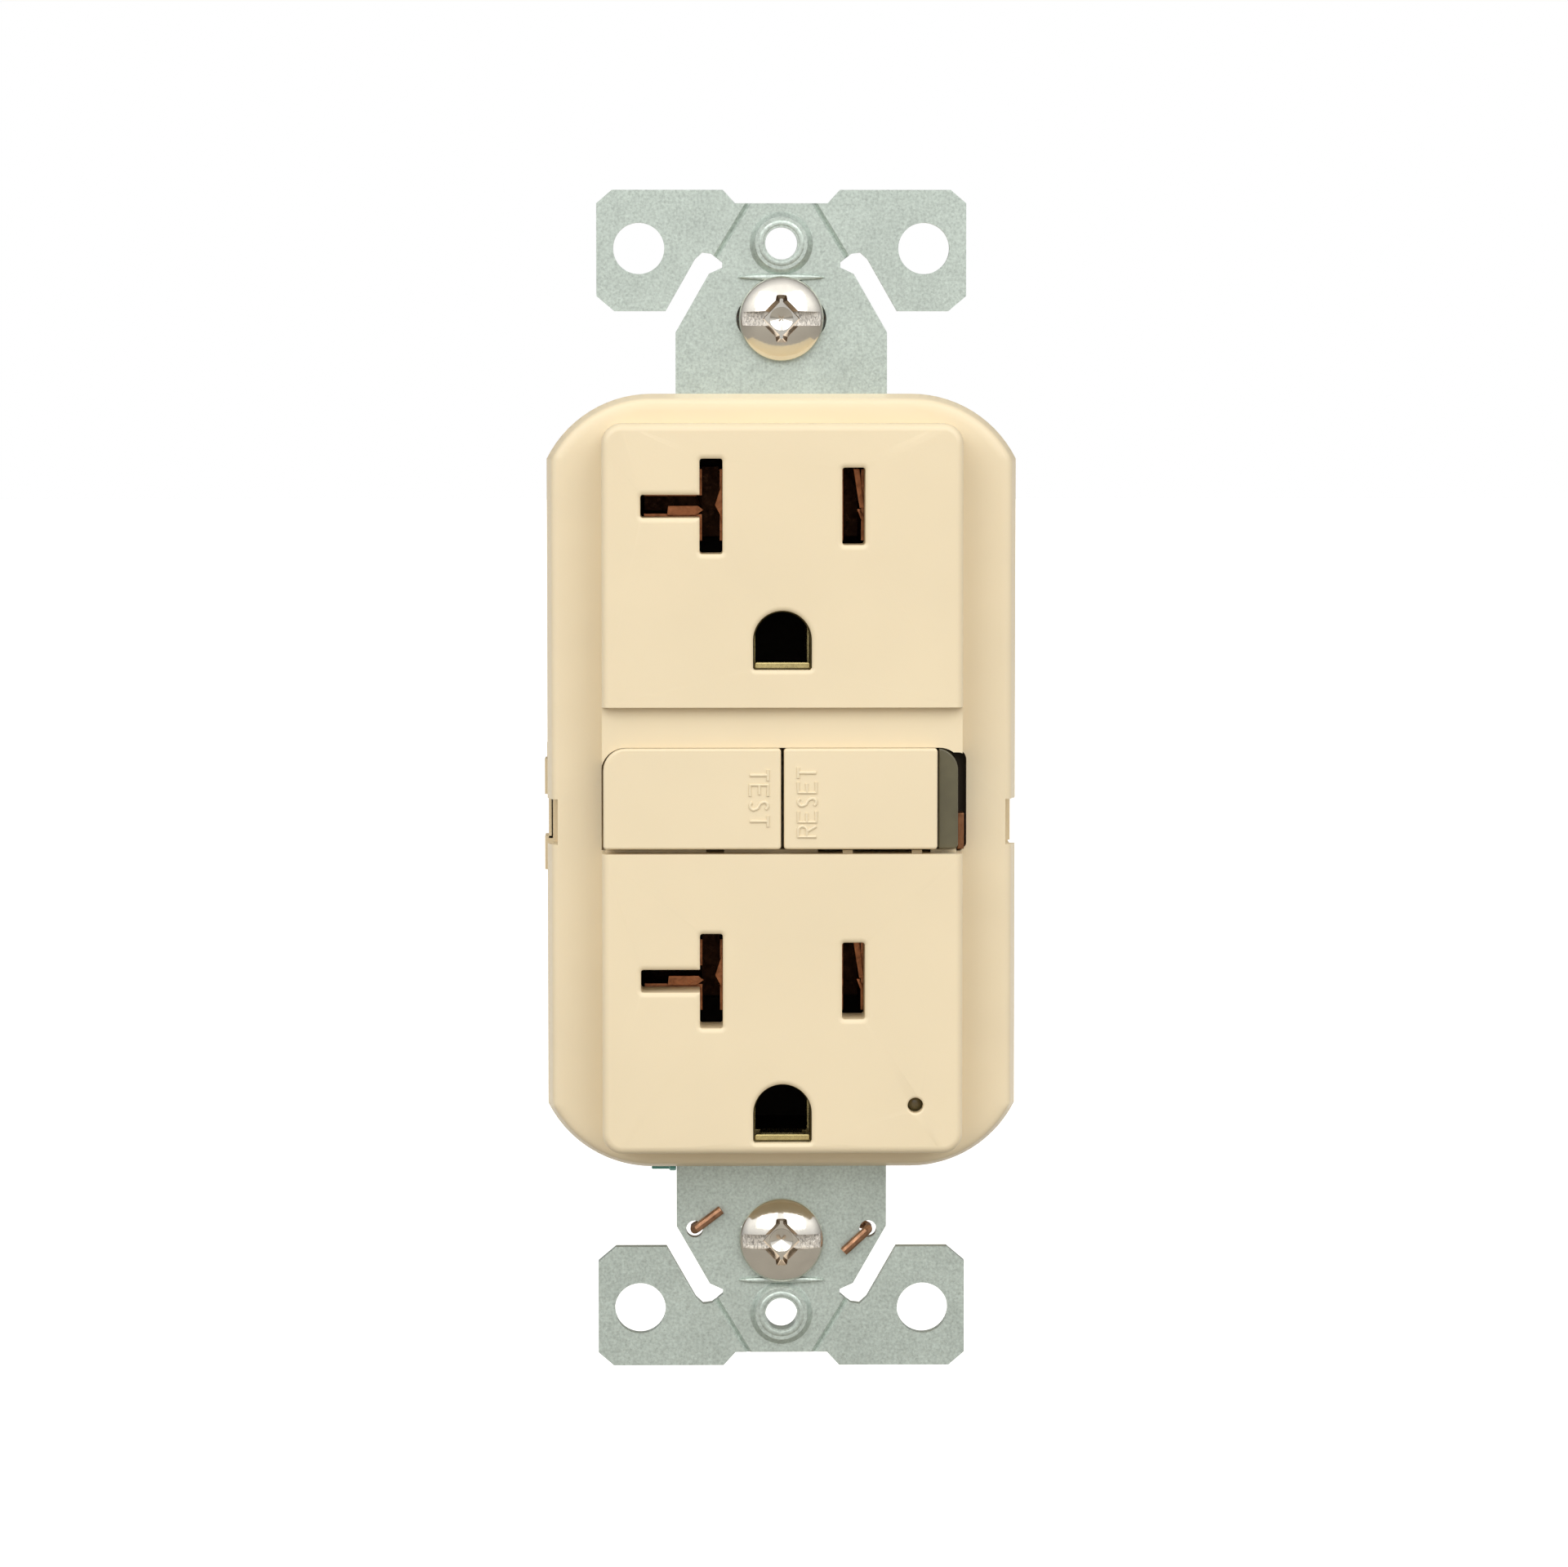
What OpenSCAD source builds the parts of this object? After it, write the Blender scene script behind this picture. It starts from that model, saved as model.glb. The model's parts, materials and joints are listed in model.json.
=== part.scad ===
// Duplex ground-fault receptacle, 20 A, for a wall box.
// X points right and Z up as installed, and Y points into the wall.
// The origin is the centre of the screw pattern, in the back plane of the mounting strap.

/* [Mounting strap] */
// Thickness of the steel strap
strap_t = 1.3; // [1.1:0.1:1.5]
// Half the width across the plaster ears
ear_half_w = 16.6; // [16.2:0.1:17]
// Distance of an ear's outer edge from the centre
ear_end_z = 53.2; // [53:0.1:53.6]
// Distance of an ear's inner edge from the centre
ear_inner_z = 42.35; // [42:0.05:42.6]
// Half the width of the strap's neck
neck_half_w = 9.5; // [9.3:0.1:9.7]
// Half the width of the rail inside the body
rail_half_w = 4.4; // [4.2:0.1:4.5]
// Distance of a cover plate screw hole from the centre
plate_hole_z = 48.42; // [48.32:0.02:48.52]
// Radius of a cover plate screw hole
plate_hole_r = 1.45; // [1.4:0.01:1.5]
// Radius of the raised ring round a cover plate screw hole
boss_r = 2.85; // [2.7:0.05:3]
// Height of that ring
boss_h = 0.6; // [0.4:0.1:0.8]
// Distance of a box screw from the centre
box_screw_z = 41.67; // [41.6:0.01:41.74]
// Distance of an ear hole from the centre line
ear_hole_x = 12.8; // [12.6:0.1:13]
// Distance of an ear hole from the centre, along the strap
ear_hole_z = 47.97; // [47.9:0.01:48.1]
// Radius of an ear hole
ear_hole_r = 2.3; // [2.1:0.05:2.4]

/* [Cover] */
// Width of the flange behind the wall plate
flange_w = 42.2; // [42:0.1:42.4]
// Height of that flange
flange_h = 69.9; // [69.7:0.1:70.1]
// Thickness of that flange
flange_t = 2; // [1.8:0.1:2.2]
// Radius of the arcs that make the flange's corners
flange_arc_r = 10.5; // [10:0.1:11]
// Width of the raised face
face_w = 32.2; // [32.2:0.05:32.4]
// Height of the raised face
face_h = 65.3; // [65.2:0.1:65.6]
// Corner radius of the raised face
face_r = 1.8; // [1.4:0.1:2]
// Height of the raised face over the strap's front
face_rise = 7; // [6.9:0.1:7.1]
// How far the face's centre is above the strap's centre
face_shift = -0.3; // [-0.35:0.05:-0.25]
// Thickness of the cover's walls
cover_wall = 1.6; // [1.5:0.1:1.7]

/* [Slots] */
// Distance between the centres of the two blade slots
blade_pitch = 12.7; // [12.6:0.05:12.8]
// Height of the upper outlet's blade slots over the face's centre
upper_blade_z = 25.3; // [25.2:0.1:25.4]
// Distance between the two outlets
outlet_pitch = 42.4; // [42.3:0.1:42.5]
// Width of a blade slot
slot_w = 2.06; // [2:0.02:2.1]
// Height of the hot slot
hot_slot_h = 6.9; // [6.8:0.1:7.1]
// Height of the neutral slot
neutral_slot_h = 8.5; // [8.3:0.1:8.6]
// How far the neutral slot's cross arm reaches from the centre line
cross_arm_x = 12.66; // [12.5:0.02:12.7]
// Distance of the ground hole below the blade slots
ground_drop = 11.9; // [11.85:0.05:11.95]
// Width of the ground hole
ground_w = 5.25; // [5.2:0.05:5.3]
// Height of the ground hole, from its arc to its flat
ground_h = 5.3; // [5.2:0.05:5.35]

/* [Buttons] */
// Height of both buttons
button_h = 9.03; // [8.9:0.01:9.1]
// Height of the buttons' centre over the face's centre, which is negative
button_z = -0.79; // [-0.85:0.01:-0.75]

/* [Housing] */
// How far the rear housing's sides are inside the flange's edge
housing_inset = 0.5; // [0.5:0.02:0.54]
// Depth of the rear housing behind the strap
housing_d = 27; // [26.9:0.1:27.2]

/* [Terminals] */
// Distance of a side terminal from the centre, along the strap
terminal_z = 13.5; // [13.4:0.1:13.6]
// Depth of a side terminal's screw behind the strap
terminal_y = 16; // [15.9:0.1:16.1]
// Radius of a terminal screw's shank, a number 8 thread
terminal_screw_r = 2.05; // [2:0.01:2.08]

/* [Mechanism] */
// Distance of the reset pin from the centre line
pin_x = 7.1; // [7.05:0.05:7.15]
// Radius of the reset pin
pin_r = 1.1; // [1.05:0.01:1.1]
// Travel of the solenoid's plunger and of the latch plate
plunger_travel = 2.4; // [2.3:0.1:2.4]
// Depth of the circuit board's front behind the strap
board_y = 23; // [23:0.05:23.1]

/* [Hidden] */
$fn = 64;
e = 0.01;

// Depths along Y
strap_front = -strap_t;
flange_front = strap_front - flange_t;
face_front = strap_front - face_rise;
step_front = face_front + 1;
slot_end_y = -2.8;
slot_corner_r = 0.25;
button_floor_y = -2.5;
tray_floor = [10.8, 12.2];
tray_cup_y = [13.3, 14.2];
rear_floor_y = housing_d - 1.8;

// Heights of the outlets and of the mechanism
outlets = [upper_blade_z + face_shift, upper_blade_z - outlet_pitch + face_shift];
grounds = [for (z = outlets) z - ground_drop];
blade_x = blade_pitch / 2;
mech_z = button_z + face_shift;
button_top = mech_z + button_h / 2;
button_bottom = mech_z - button_h / 2;
opening_z = [face_shift - 5.73, face_shift + 3.75];
opening_half_w = 16.2;
step_z = face_shift + 7.4;

// Buttons
button_front = face_front + 0.1;
button_skirt = -4.7;
button_wall = 1.2;
button_top_y = button_front + 1.4;
test_x = [-16, -0.12];
reset_x = [0.12, 13.85];
lens_x = [13.95, 15.7];
test_stem_x = -8.1;
test_stem_r = 1.4;
test_stem_end = 4;

// Replace-me light
signal_pos = [11.9, face_shift - 28.3];

// Separator and housing
tray_half_w = 18.6;
tray_half_h = flange_h / 2 - housing_inset - 1.35 - 0.1;
tray_wall = 1.4;
post_pos = [15.1, 24.6];
post_r = 2;
screw_r = 1.25;
well = [-5.3, -26.9];
side_wall = 1.8;
end_wall = 1.35;
chamber_half_h = 6;
chamber_x = 13.4;
chamber_wall = 0.7;
wire_x = 16.55;
wire_dz = 3.4;
wire_r = 1.15;

// Terminals
plate_x = [17.6, 18.6];
clamp_x = [14.3, 15.5];
terminal_head_x = [18.75, 20.5];
window_y = [11.6, 20.4];
terminal_head_r = 3.8;
terminal_half_h = 4.9;
ground_screw_pos = [5, -32.4];
ground_tab_x = [-neck_half_w, -8.2];

// Bus bars
bus_y = [10, 10.8];
bus_x = [8.6, 12.4];
leaf_t = 0.5;
leaf_gap = 0.8;
leaf_half_h = 3.2;
leaf_front = -2.4;
tab_y = [12.3, 13.1];
pole_dx = 4.1;
pole_half_w = 1.1;
contact_dz = 6.2;
contact_r = 1;
fixed_pad_y = [13.1, 13.6];
moving_pad_y = [13.7, 14.2];
bridge_y = [14.2, 14.9];

// Latch and solenoid
latch_y = [17.75, 18.45];
pin_head_y = [18.5, 19.9];
solenoid_y = 18.3;
yoke_z = [-24, -9.4];
yoke_t = 0.8;
plunger_r = 1.6;
nose_z = mech_z - 6.3;
plunger_head_z = [-29.2, -27.8];

// Sensor
sensor_pos = [0, post_pos[1]];
sensor_r = 7.7;

// Colours
ivory = [0.90, 0.81, 0.64];
ivory_dark = [0.84, 0.75, 0.58];
steel = [0.70, 0.74, 0.71];
nickel = [0.80, 0.76, 0.68];
brass = [0.78, 0.66, 0.34];
copper = [0.66, 0.38, 0.22];
dark = [0.16, 0.17, 0.18];
grey = [0.45, 0.46, 0.42];
green = [0.10, 0.42, 0.36];
board_green = [0.10, 0.35, 0.20];
white = [0.88, 0.88, 0.85];

// A block between two corners
module block(x, y, z) {
    translate([x[0], y[0], z[0]]) cube([x[1] - x[0], y[1] - y[0], z[1] - z[0]]);
}

// An outline drawn in X and Z, extruded from one depth to another
module slab(y) {
    translate([0, y[1], 0]) rotate([90, 0, 0]) linear_extrude(y[1] - y[0]) children();
}

// A cylinder along Y at a place in X and Z
module rod_y(p, y, r) {
    translate([p[0], y[0], p[1]]) rotate([-90, 0, 0]) cylinder(r = r, h = y[1] - y[0]);
}

// A cone along Y
module cone_y(p, y, r1, r2) {
    translate([p[0], y[0], p[1]]) rotate([-90, 0, 0]) cylinder(r1 = r1, r2 = r2, h = y[1] - y[0]);
}

// A cylinder along X at a place in Y and Z
module rod_x(p, x, r) {
    translate([x[0], p[0], p[1]]) rotate([0, 90, 0]) cylinder(r = r, h = x[1] - x[0]);
}

// A cylinder along Z at a place in X and Y
module rod_z(p, z, r) {
    translate([p[0], p[1], z[0]]) cylinder(r = r, h = z[1] - z[0]);
}

// A rectangle with its centre at a point and round corners
module round_rect(w, h, r) {
    square([w - 2 * r, h], center = true);
    square([w, h - 2 * r], center = true);
    for (sx = [-1, 1], sz = [-1, 1]) translate([sx * (w / 2 - r), sz * (h / 2 - r)]) circle(r);
}

// A rectangle from corner to corner
module rect(x, z) {
    translate([x[0], z[0]]) square([x[1] - x[0], z[1] - z[0]]);
}

// The same with round corners
module soft_rect(x, z, r) {
    translate([(x[0] + x[1]) / 2, (z[0] + z[1]) / 2]) round_rect(x[1] - x[0], z[1] - z[0], r);
}

// Both mirror images about the vertical plane
module both_sides() {
    children();
    mirror([1, 0, 0]) children();
}

// Both mirror images about the horizontal plane
module both_ends() {
    children();
    mirror([0, 0, 1]) children();
}

// A coil spring about the Y axis of its own frame, swept along a helix
module helix(length, r, wire_r, turns) {
    sides = 8;
    steps = turns * 14;
    points = [for (i = [0:steps], k = [0:sides - 1])
        let (a = 360 * turns * i / steps, b = 360 * k / sides)
        [(r + wire_r * cos(b)) * cos(a),
         wire_r + (length - 2 * wire_r) * i / steps + wire_r * sin(b),
         (r + wire_r * cos(b)) * sin(a)]];
    skin = [for (i = [0:steps - 1], k = [0:sides - 1])
        let (n = (k + 1) % sides)
        [i * sides + k, (i + 1) * sides + k, (i + 1) * sides + n, i * sides + n]];
    caps = [[for (k = [0:sides - 1]) k], [for (k = [sides - 1:-1:0]) steps * sides + k]];
    polyhedron(points, concat(skin, caps), convexity = 10);
}

// ---- Outlines of the face ----

// The neutral slot, with its cross arm towards the left
module neutral_slot_2d(grow = 0) {
    soft_rect([-blade_x - slot_w / 2 - grow, -blade_x + slot_w / 2 + grow],
              [-neutral_slot_h / 2 - grow, neutral_slot_h / 2 + grow], slot_corner_r);
    soft_rect([-cross_arm_x - grow, -blade_x], [-slot_w / 2 - grow, slot_w / 2 + grow], slot_corner_r);
}

module hot_slot_2d(grow = 0) {
    soft_rect([blade_x - slot_w / 2 - grow, blade_x + slot_w / 2 + grow],
              [-hot_slot_h / 2 - grow, hot_slot_h / 2 + grow], slot_corner_r);
}

// The ground hole: round at its top, with a flat at its bottom
module ground_hole_2d(grow = 0) {
    r = ground_w / 2 + grow;
    c = slot_corner_r;
    floor_z = ground_w / 2 - ground_h - grow;
    circle(r);
    rect([-r, r], [floor_z + c, 0]);
    rect([-r + c, r - c], [floor_z, 0]);
    for (s = [-1, 1]) translate([s * (r - c), floor_z + c]) circle(c);
}

// The outline of the flange and, set in, of the body behind it: its round corners are cut off by straight sides
module body_2d(inset = 0) {
    intersection() {
        round_rect(2 * (11.7 + flange_arc_r - inset), flange_h - 2 * inset, flange_arc_r - inset);
        square([flange_w - 2 * inset, flange_h + 1], center = true);
    }
}

module slots_2d(grow = 0) {
    for (z = outlets) translate([0, z]) {
        neutral_slot_2d(grow);
        hot_slot_2d(grow);
        translate([0, -ground_drop]) ground_hole_2d(grow);
    }
}

// ---- Casing ----

// The opening for both buttons, round at its two upper corners
module button_opening_2d() {
    r = 2.2;
    w = opening_half_w;
    rect([-w, w], [opening_z[0], opening_z[1] - r]);
    rect([-w + r, w - r], [opening_z[0], opening_z[1]]);
    for (s = [-1, 1]) translate([s * (w - r), opening_z[1] - r]) circle(r);
}

// The window for a latch, in the right edge
module latch_window(y) {
    block([flange_w / 2 - 0.95, flange_w], y, [face_shift - 5.25, face_shift - 1.15]);
}

// The solid outside of the cover: the flange and the raised face
module cover_outside() {
    difference() {
        slab([flange_front, strap_front]) body_2d();
        // latch windows in both edges
        both_sides() latch_window([-9, 9]);
    }
    difference() {
        slab([face_front, flange_front]) translate([0, face_shift]) round_rect(face_w, face_h, face_r);
        block([-face_w, face_w], [face_front - 1, step_front], [opening_z[0], step_z]);
    }
}

// The space inside the face, in an upper and a lower part
module cover_hollow() {
    half_w = face_w / 2 - cover_wall;
    half_h = face_h / 2 - cover_wall;
    inner_front = face_front + cover_wall;
    block([-half_w, half_w], [inner_front, 0], [step_z, face_shift + half_h]);
    block([-half_w, half_w], [inner_front, 0], [face_shift - half_h, opening_z[0] - cover_wall]);
    block([-half_w, half_w], [step_front + cover_wall, 0], [opening_z[1] + cover_wall, step_z + e]);
}

module cover() color(ivory) {
    difference() {
        union() {
            difference() {
                cover_outside();
                cover_hollow();
            }
            // walls round each slot, which guide the blades
            intersection() {
                slab([face_front + cover_wall - e, slot_end_y]) slots_2d(0.9);
                block([-15, 15], [face_front, 0], [-40, 40]);
            }
            // posts for the housing screws
            for (sx = [-1, 1], sz = [-1, 1])
                rod_y([sx * post_pos[0], sz * post_pos[1]], [flange_front + 0.5, 10], post_r);
            // floor under the buttons
            block([-face_w / 2, face_w / 2], [button_floor_y, strap_front],
                  [opening_z[0] - 1, opening_z[1] + 1]);
        }
        slab([face_front - 1, 0]) slots_2d();
        slab([face_front - 1, button_floor_y]) button_opening_2d();
        for (sx = [-1, 1], sz = [-1, 1])
            rod_y([sx * post_pos[0], sz * post_pos[1]], [-0.5, 11], screw_r + 0.05);
        rod_y(signal_pos, [face_front - 1, 0], 0.7);
        // holes in the floor for each stem and for the lens
        rod_y([pin_x, mech_z], [-5, 5], pin_r + 0.2);
        rod_y([test_stem_x, mech_z], [-5, 5], test_stem_r + 0.15);
        block([lens_x[0] - 0.05, lens_x[1] + 0.4], [button_floor_y - 0.5, 0], [button_bottom - 0.1, button_top + 0.1]);
        // room for the ground contacts' lips
        for (z = grounds) block([-2.1, 2.1], [slot_end_y, 0], [z - 3.2, z - 2.3]);
    }
}

module rear_housing() color(ivory_dark) {
    w = flange_w / 2 - housing_inset;
    chamber = [terminal_z - chamber_half_h, terminal_z + chamber_half_h];
    difference() {
        union() {
            difference() {
                slab([strap_front, housing_d]) body_2d(housing_inset);
                intersection() {
                    slab([-5, rear_floor_y]) body_2d(housing_inset + end_wall);
                    block([-w + side_wall, w - side_wall], [-5, rear_floor_y], [-40, 40]);
                }
            }
            // walls of the terminal chambers
            both_sides() both_ends() block(
                [chamber_x - chamber_wall, w - side_wall + e], [tray_floor[1], rear_floor_y + e],
                [chamber[0] - chamber_wall, chamber[1] + chamber_wall]);
            for (sx = [-1, 1], sz = [-1, 1])
                rod_y([sx * post_pos[0], sz * post_pos[1]], [tray_floor[1], rear_floor_y + e], 2.4);
            // rests under the circuit board
            for (sx = [-1, 1], z = [-30, 30])
                block([sx * 10 - 1, sx * 10 + 1], [board_y + 1.4, rear_floor_y + e], [z - 1, z + 1]);
            // grip ribs between the terminals
            both_sides() for (z = [-5.2, -2.6, 0, 2.6, 5.2])
                block([w - e, w + 0.35], [5, housing_d - 4], [z - 0.4, z + 0.4]);
        }
        both_sides() both_ends() {
            // window, with a shallow recess round it
            block([chamber_x, w + 5], [window_y[0], window_y[1]], [chamber[0] + 0.4, chamber[1] - 0.4]);
            block([w - 0.5, w + 5], [window_y[0] - 1, window_y[1] + 1], [chamber[0] - 0.6, chamber[1] + 0.6]);
            block([chamber_x, w - side_wall], [tray_floor[1] - e, rear_floor_y], chamber);
            // wire holes, with a lead-in
            for (dz = [-wire_dz, wire_dz]) {
                rod_y([wire_x, terminal_z + dz], [20, 30], wire_r);
                cone_y([wire_x, terminal_z + dz], [housing_d - 0.7, housing_d + e], wire_r, wire_r + 0.7);
            }
        }
        // slits for the line terminals' feet
        both_sides() block([10, chamber_x + e], [board_y - 0.9, board_y + 0.05], [terminal_z - 1.6, terminal_z + 1.6]);
        // screw bores and head recesses
        for (sx = [-1, 1], sz = [-1, 1]) {
            rod_y([sx * post_pos[0], sz * post_pos[1]], [5, 30], screw_r + 0.3);
            rod_y([sx * post_pos[0], sz * post_pos[1]], [rear_floor_y + 0.4, 30], 2.9);
        }
        // way out for the strap at both ends
        block([-neck_half_w - 0.1, neck_half_w + 0.1], [-5, 0], [-40, 40]);
        // corner well of the ground screw
        block([-30, well[0] + 0.1], [-5, tray_floor[0]], [-40, well[1] - tray_wall]);
        both_sides() latch_window([-5, 1.2]);
        // shallow recess in the back, and a gauge for stripping wire
        slab([housing_d - 0.3, housing_d + 1]) round_rect(18, 34, 1.5);
        block([-6.35, 6.35], [housing_d - 0.6, housing_d + 1], [-28, -26.8]);
    }
    housing_nibs();
}

// Small nibs on the left edge, each with its two ends and how far it stands out
module housing_nibs() {
    w = flange_w / 2 - housing_inset;
    for (nib = [[-1, 2.2, 0.8], [-7.85, -4.8, 0.8], [-4.9, -0.9, 0.2], [2.4, 3.7, 0.6]])
        block([-w - nib[2], -w + e], [1.3, 4.5], [nib[0] + face_shift, nib[1] + face_shift]);
}

// The space inside the housing, set in from its walls
module tray_block(y, inset) {
    intersection() {
        slab(y) body_2d(housing_inset + end_wall + 0.1 + inset);
        block([-tray_half_w + inset, tray_half_w - inset], [y[0] - 1, y[1] + 1], [-40, 40]);
    }
}

module separator() color(dark) {
    difference() {
        union() {
            difference() {
                tray_block([0, tray_floor[1]], 0);
                tray_block([-1, tray_floor[0]], tray_wall);
            }
            // wall round the corner well
            intersection() {
                tray_block([0, tray_floor[0] + e], 0);
                block([-40, well[0] + tray_wall], [-1, 20], [-40, well[1]]);
            }
            // cups for the ground pins
            for (z = grounds)
                block([-3.8, 3.8], [0.75, tray_cup_y[1]], [max(z - 3.7, -tray_half_h), z + 3.7]);
            // cross walls that carry the strap
            for (z = [8.9, -9])
                block([-tray_half_w, tray_half_w], [0, tray_floor[0] + e], [z - 0.4, z + 0.4]);
        }
        for (z = grounds) {
            block([-3, 3], [-1, tray_cup_y[0]], [z - 2.9, z + 2.9]);
            block([-4.3, 4.3], [-1, 0.75], [z - 3.6, z + 6.7]);
        }
        block([-30, well[0]], [-1, tray_floor[0]], [-40, well[1] - tray_wall]);
        // ways for the bus bars through the cross walls and out to the load terminals
        both_sides() {
            block([bus_x[0] - 0.15, bus_x[1] + 0.15], [-1, tray_floor[0]], [-15, 12]);
            block([tray_half_w - tray_wall - 0.1, 20], [bus_y[0] - 0.1, 13],
                  [-terminal_z - 4.1, -terminal_z + 4.1]);
        }
        // holes for the posts' screws, the reset pin, the bus tabs, the test leaf and the lamps' leads
        for (sx = [-1, 1], sz = [-1, 1])
            rod_y([sx * post_pos[0], sz * post_pos[1]], [5, 15], screw_r + 0.35);
        rod_y([pin_x, mech_z], [-1, 15], pin_r + 0.3);
        block([pin_x + pole_dx - pole_half_w - 0.1, bus_x[1] + 0.1], [5, 15], [-10.7, -9.7]);
        block([-10.7, -bus_x[0] + 0.1], [5, 15], [-10.7, -9.7]);
        block([-4.4, -3.9], [5, 15], [mech_z - 1.1, mech_z + 1.1]);
        for (p = lamp_leads()) rod_y(p, [-1, 15], 0.4);
    }
}

module housing_screws() color(steel) {
    for (sx = [-1, 1], sz = [-1, 1]) translate([sx * post_pos[0], 0, sz * post_pos[1]]) difference() {
        union() {
            rod_y([0, 0], [-0.2, rear_floor_y + 0.4], screw_r);
            rod_y([0, 0], [rear_floor_y + 0.4, housing_d - 0.2], 2.6);
        }
        block([-0.35, 0.35], [housing_d - 0.8, housing_d], [-1.6, 1.6]);
        block([-1.6, 1.6], [housing_d - 0.8, housing_d], [-0.35, 0.35]);
    }
}

// ---- Strap and grounding ----

// One end of the strap, with its break-off ears
module strap_end_2d() {
    outline = [
        [0, 30], [neck_half_w, 30], [neck_half_w, 40.45], [6.5, 45.7], [5.3, 46.25], [5.3, 46.7],
        [6.3, 47.5], [7.1, 47.6], [7.75, 47], [10.4, ear_inner_z], [15, ear_inner_z],
        [ear_half_w, ear_inner_z + 1.35], [ear_half_w, ear_end_z - 1.2], [15.2, ear_end_z],
        [5.25, ear_end_z], [4.15, ear_end_z - 1.2], [0, ear_end_z - 1.2]
    ];
    polygon(outline);
    mirror([1, 0]) polygon(outline);
}

// The oval slot for a box screw
module box_slot_2d() {
    for (sx = [-1, 1]) translate([sx * 2.1, 0]) circle(1.95);
    square([4.2, 3.9], center = true);
}

// The cuts in one end of the strap
module strap_end_cuts() {
    rod_y([0, plate_hole_z], [-5, 5], plate_hole_r);
    for (sx = [-1, 1]) rod_y([sx * ear_hole_x, ear_hole_z], [-5, 5], ear_hole_r);
    translate([0, 0, box_screw_z]) slab([-5, 5]) box_slot_2d();
    // score lines, where an ear breaks off
    both_sides() for (y = [strap_front, 0]) translate([4.42, y, 49.6]) rotate([0, -31.3, 0])
        rotate([0, 0, 45]) cube([0.35, 0.35, 6.8], center = true);
}

module strap() color(steel) {
    difference() {
        union() {
            slab([strap_front, 0]) {
                strap_end_2d();
                mirror([0, 1]) strap_end_2d();
                rect([-rail_half_w, rail_half_w], [-31, 31]);
            }
            both_ends() {
                cone_y([0, plate_hole_z], [strap_front - boss_h, strap_front + e], boss_r - 0.5, boss_r);
                rod_y([0, plate_hole_z], [-e, 0.5], boss_r - 0.5);
            }
            // tab bent back for the ground screw
            block(ground_tab_x, [-e, 9], [-36, -28.8]);
        }
        strap_end_cuts();
        mirror([0, 0, 1]) strap_end_cuts();
        for (z = grounds) block([-3, 3], [-5, 5], [z - 3.1, z + 3]);
        for (z = grounds, sx = [-1, 1]) rod_y([sx * 2.2, z + 5.2], [-5, 5], 0.9);
        // holes for the grounding clip
        for (sx = [-1, 1]) rod_y([sx * 7.86, -40.72], [-5, 5], 0.77);
        rod_x(ground_screw_pos, [-10, -8], 2);
    }
}

module strap_rivets() color(steel) {
    for (z = grounds, sx = [-1, 1]) {
        rod_y([sx * 2.2, z + 5.2], [strap_front, 0.7], 0.9);
        rod_y([sx * 2.2, z + 5.2], [strap_front - 0.4, strap_front], 1.4);
        rod_y([sx * 2.2, z + 5.2], [0.7, 1.1], 1.4);
    }
}

// A ground contact: a plate under the rail, two leaves and a lip at its hole's lower edge
module ground_contact(z) color(brass) translate([0, 0, z]) {
    difference() {
        block([-4.2, 4.2], [0, 0.7], [-3.5, 6.6]);
        block([-2.35, 2.35], [-1, 2], [-2.5, 2.6]);
        for (sx = [-1, 1]) rod_y([sx * 2.2, 5.2], [-1, 2], 0.9);
    }
    both_sides() block([2.35, 2.85], [0.7 - e, 11.5], [-1.8, 1.8]);
    block([-1.9, 1.9], [-2.6, 0.7], [-3, -2.5]);
}
module ground_contact_upper() ground_contact(grounds[0]);
module ground_contact_lower() ground_contact(grounds[1]);

// A hexagon head screw with a slot, through the strap's bent tab
module ground_screw() color(green) {
    difference() {
        union() {
            rod_x(ground_screw_pos, [ground_tab_x[0] - 0.05, -5.6], 1.95);
            rod_x(ground_screw_pos, [ground_tab_x[0] - 0.65, ground_tab_x[0] - 0.05], 3.8);
            translate([ground_tab_x[0] - 2.3, ground_screw_pos[0], ground_screw_pos[1]])
                rotate([0, 90, 0]) cylinder(r = 3.7, h = 1.7, $fn = 6);
        }
        block([-15, ground_tab_x[0] - 1.3], [1, 9], [ground_screw_pos[1] - 0.5, ground_screw_pos[1] + 0.5]);
    }
}

// Spring wire that grips the lower box screw, so that the strap is earthed through it
module ground_clip() color(copper) {
    r = 0.42;
    front = strap_front - r;
    route = [
        [-5.46, front, -38.9], [-7.86, front, -40.72], [-7.86, 0.5, -40.72], [-3.9, 0.5, -39.3],
        [3.9, 0.5, -39.3], [7.86, 0.5, -40.72], [7.86, front, -40.72], [5.66, front, -42.74]
    ];
    wire(eased(route, 0.3), r);
}

function unit(v) = v / norm(v);

// A route with each bend cut off a little way before and after its corner
function eased(p, d) = [
    p[0],
    for (i = [1:len(p) - 2]) each [p[i] + d * unit(p[i - 1] - p[i]), p[i] + d * unit(p[i + 1] - p[i])],
    p[len(p) - 1]
];

// The direction of a route at each of its points
function headings(p) = [for (i = [0:len(p) - 1])
    unit((i > 0 ? unit(p[i] - p[i - 1]) : [0, 0, 0]) + (i < len(p) - 1 ? unit(p[i + 1] - p[i]) : [0, 0, 0]))];

// A direction across the route at each point, carried along without twist
function across(t, u, i = 0) = i == len(t) ? [] :
    let (w = unit(u - (u * t[i]) * t[i])) concat([w], across(t, w, i + 1));

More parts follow.
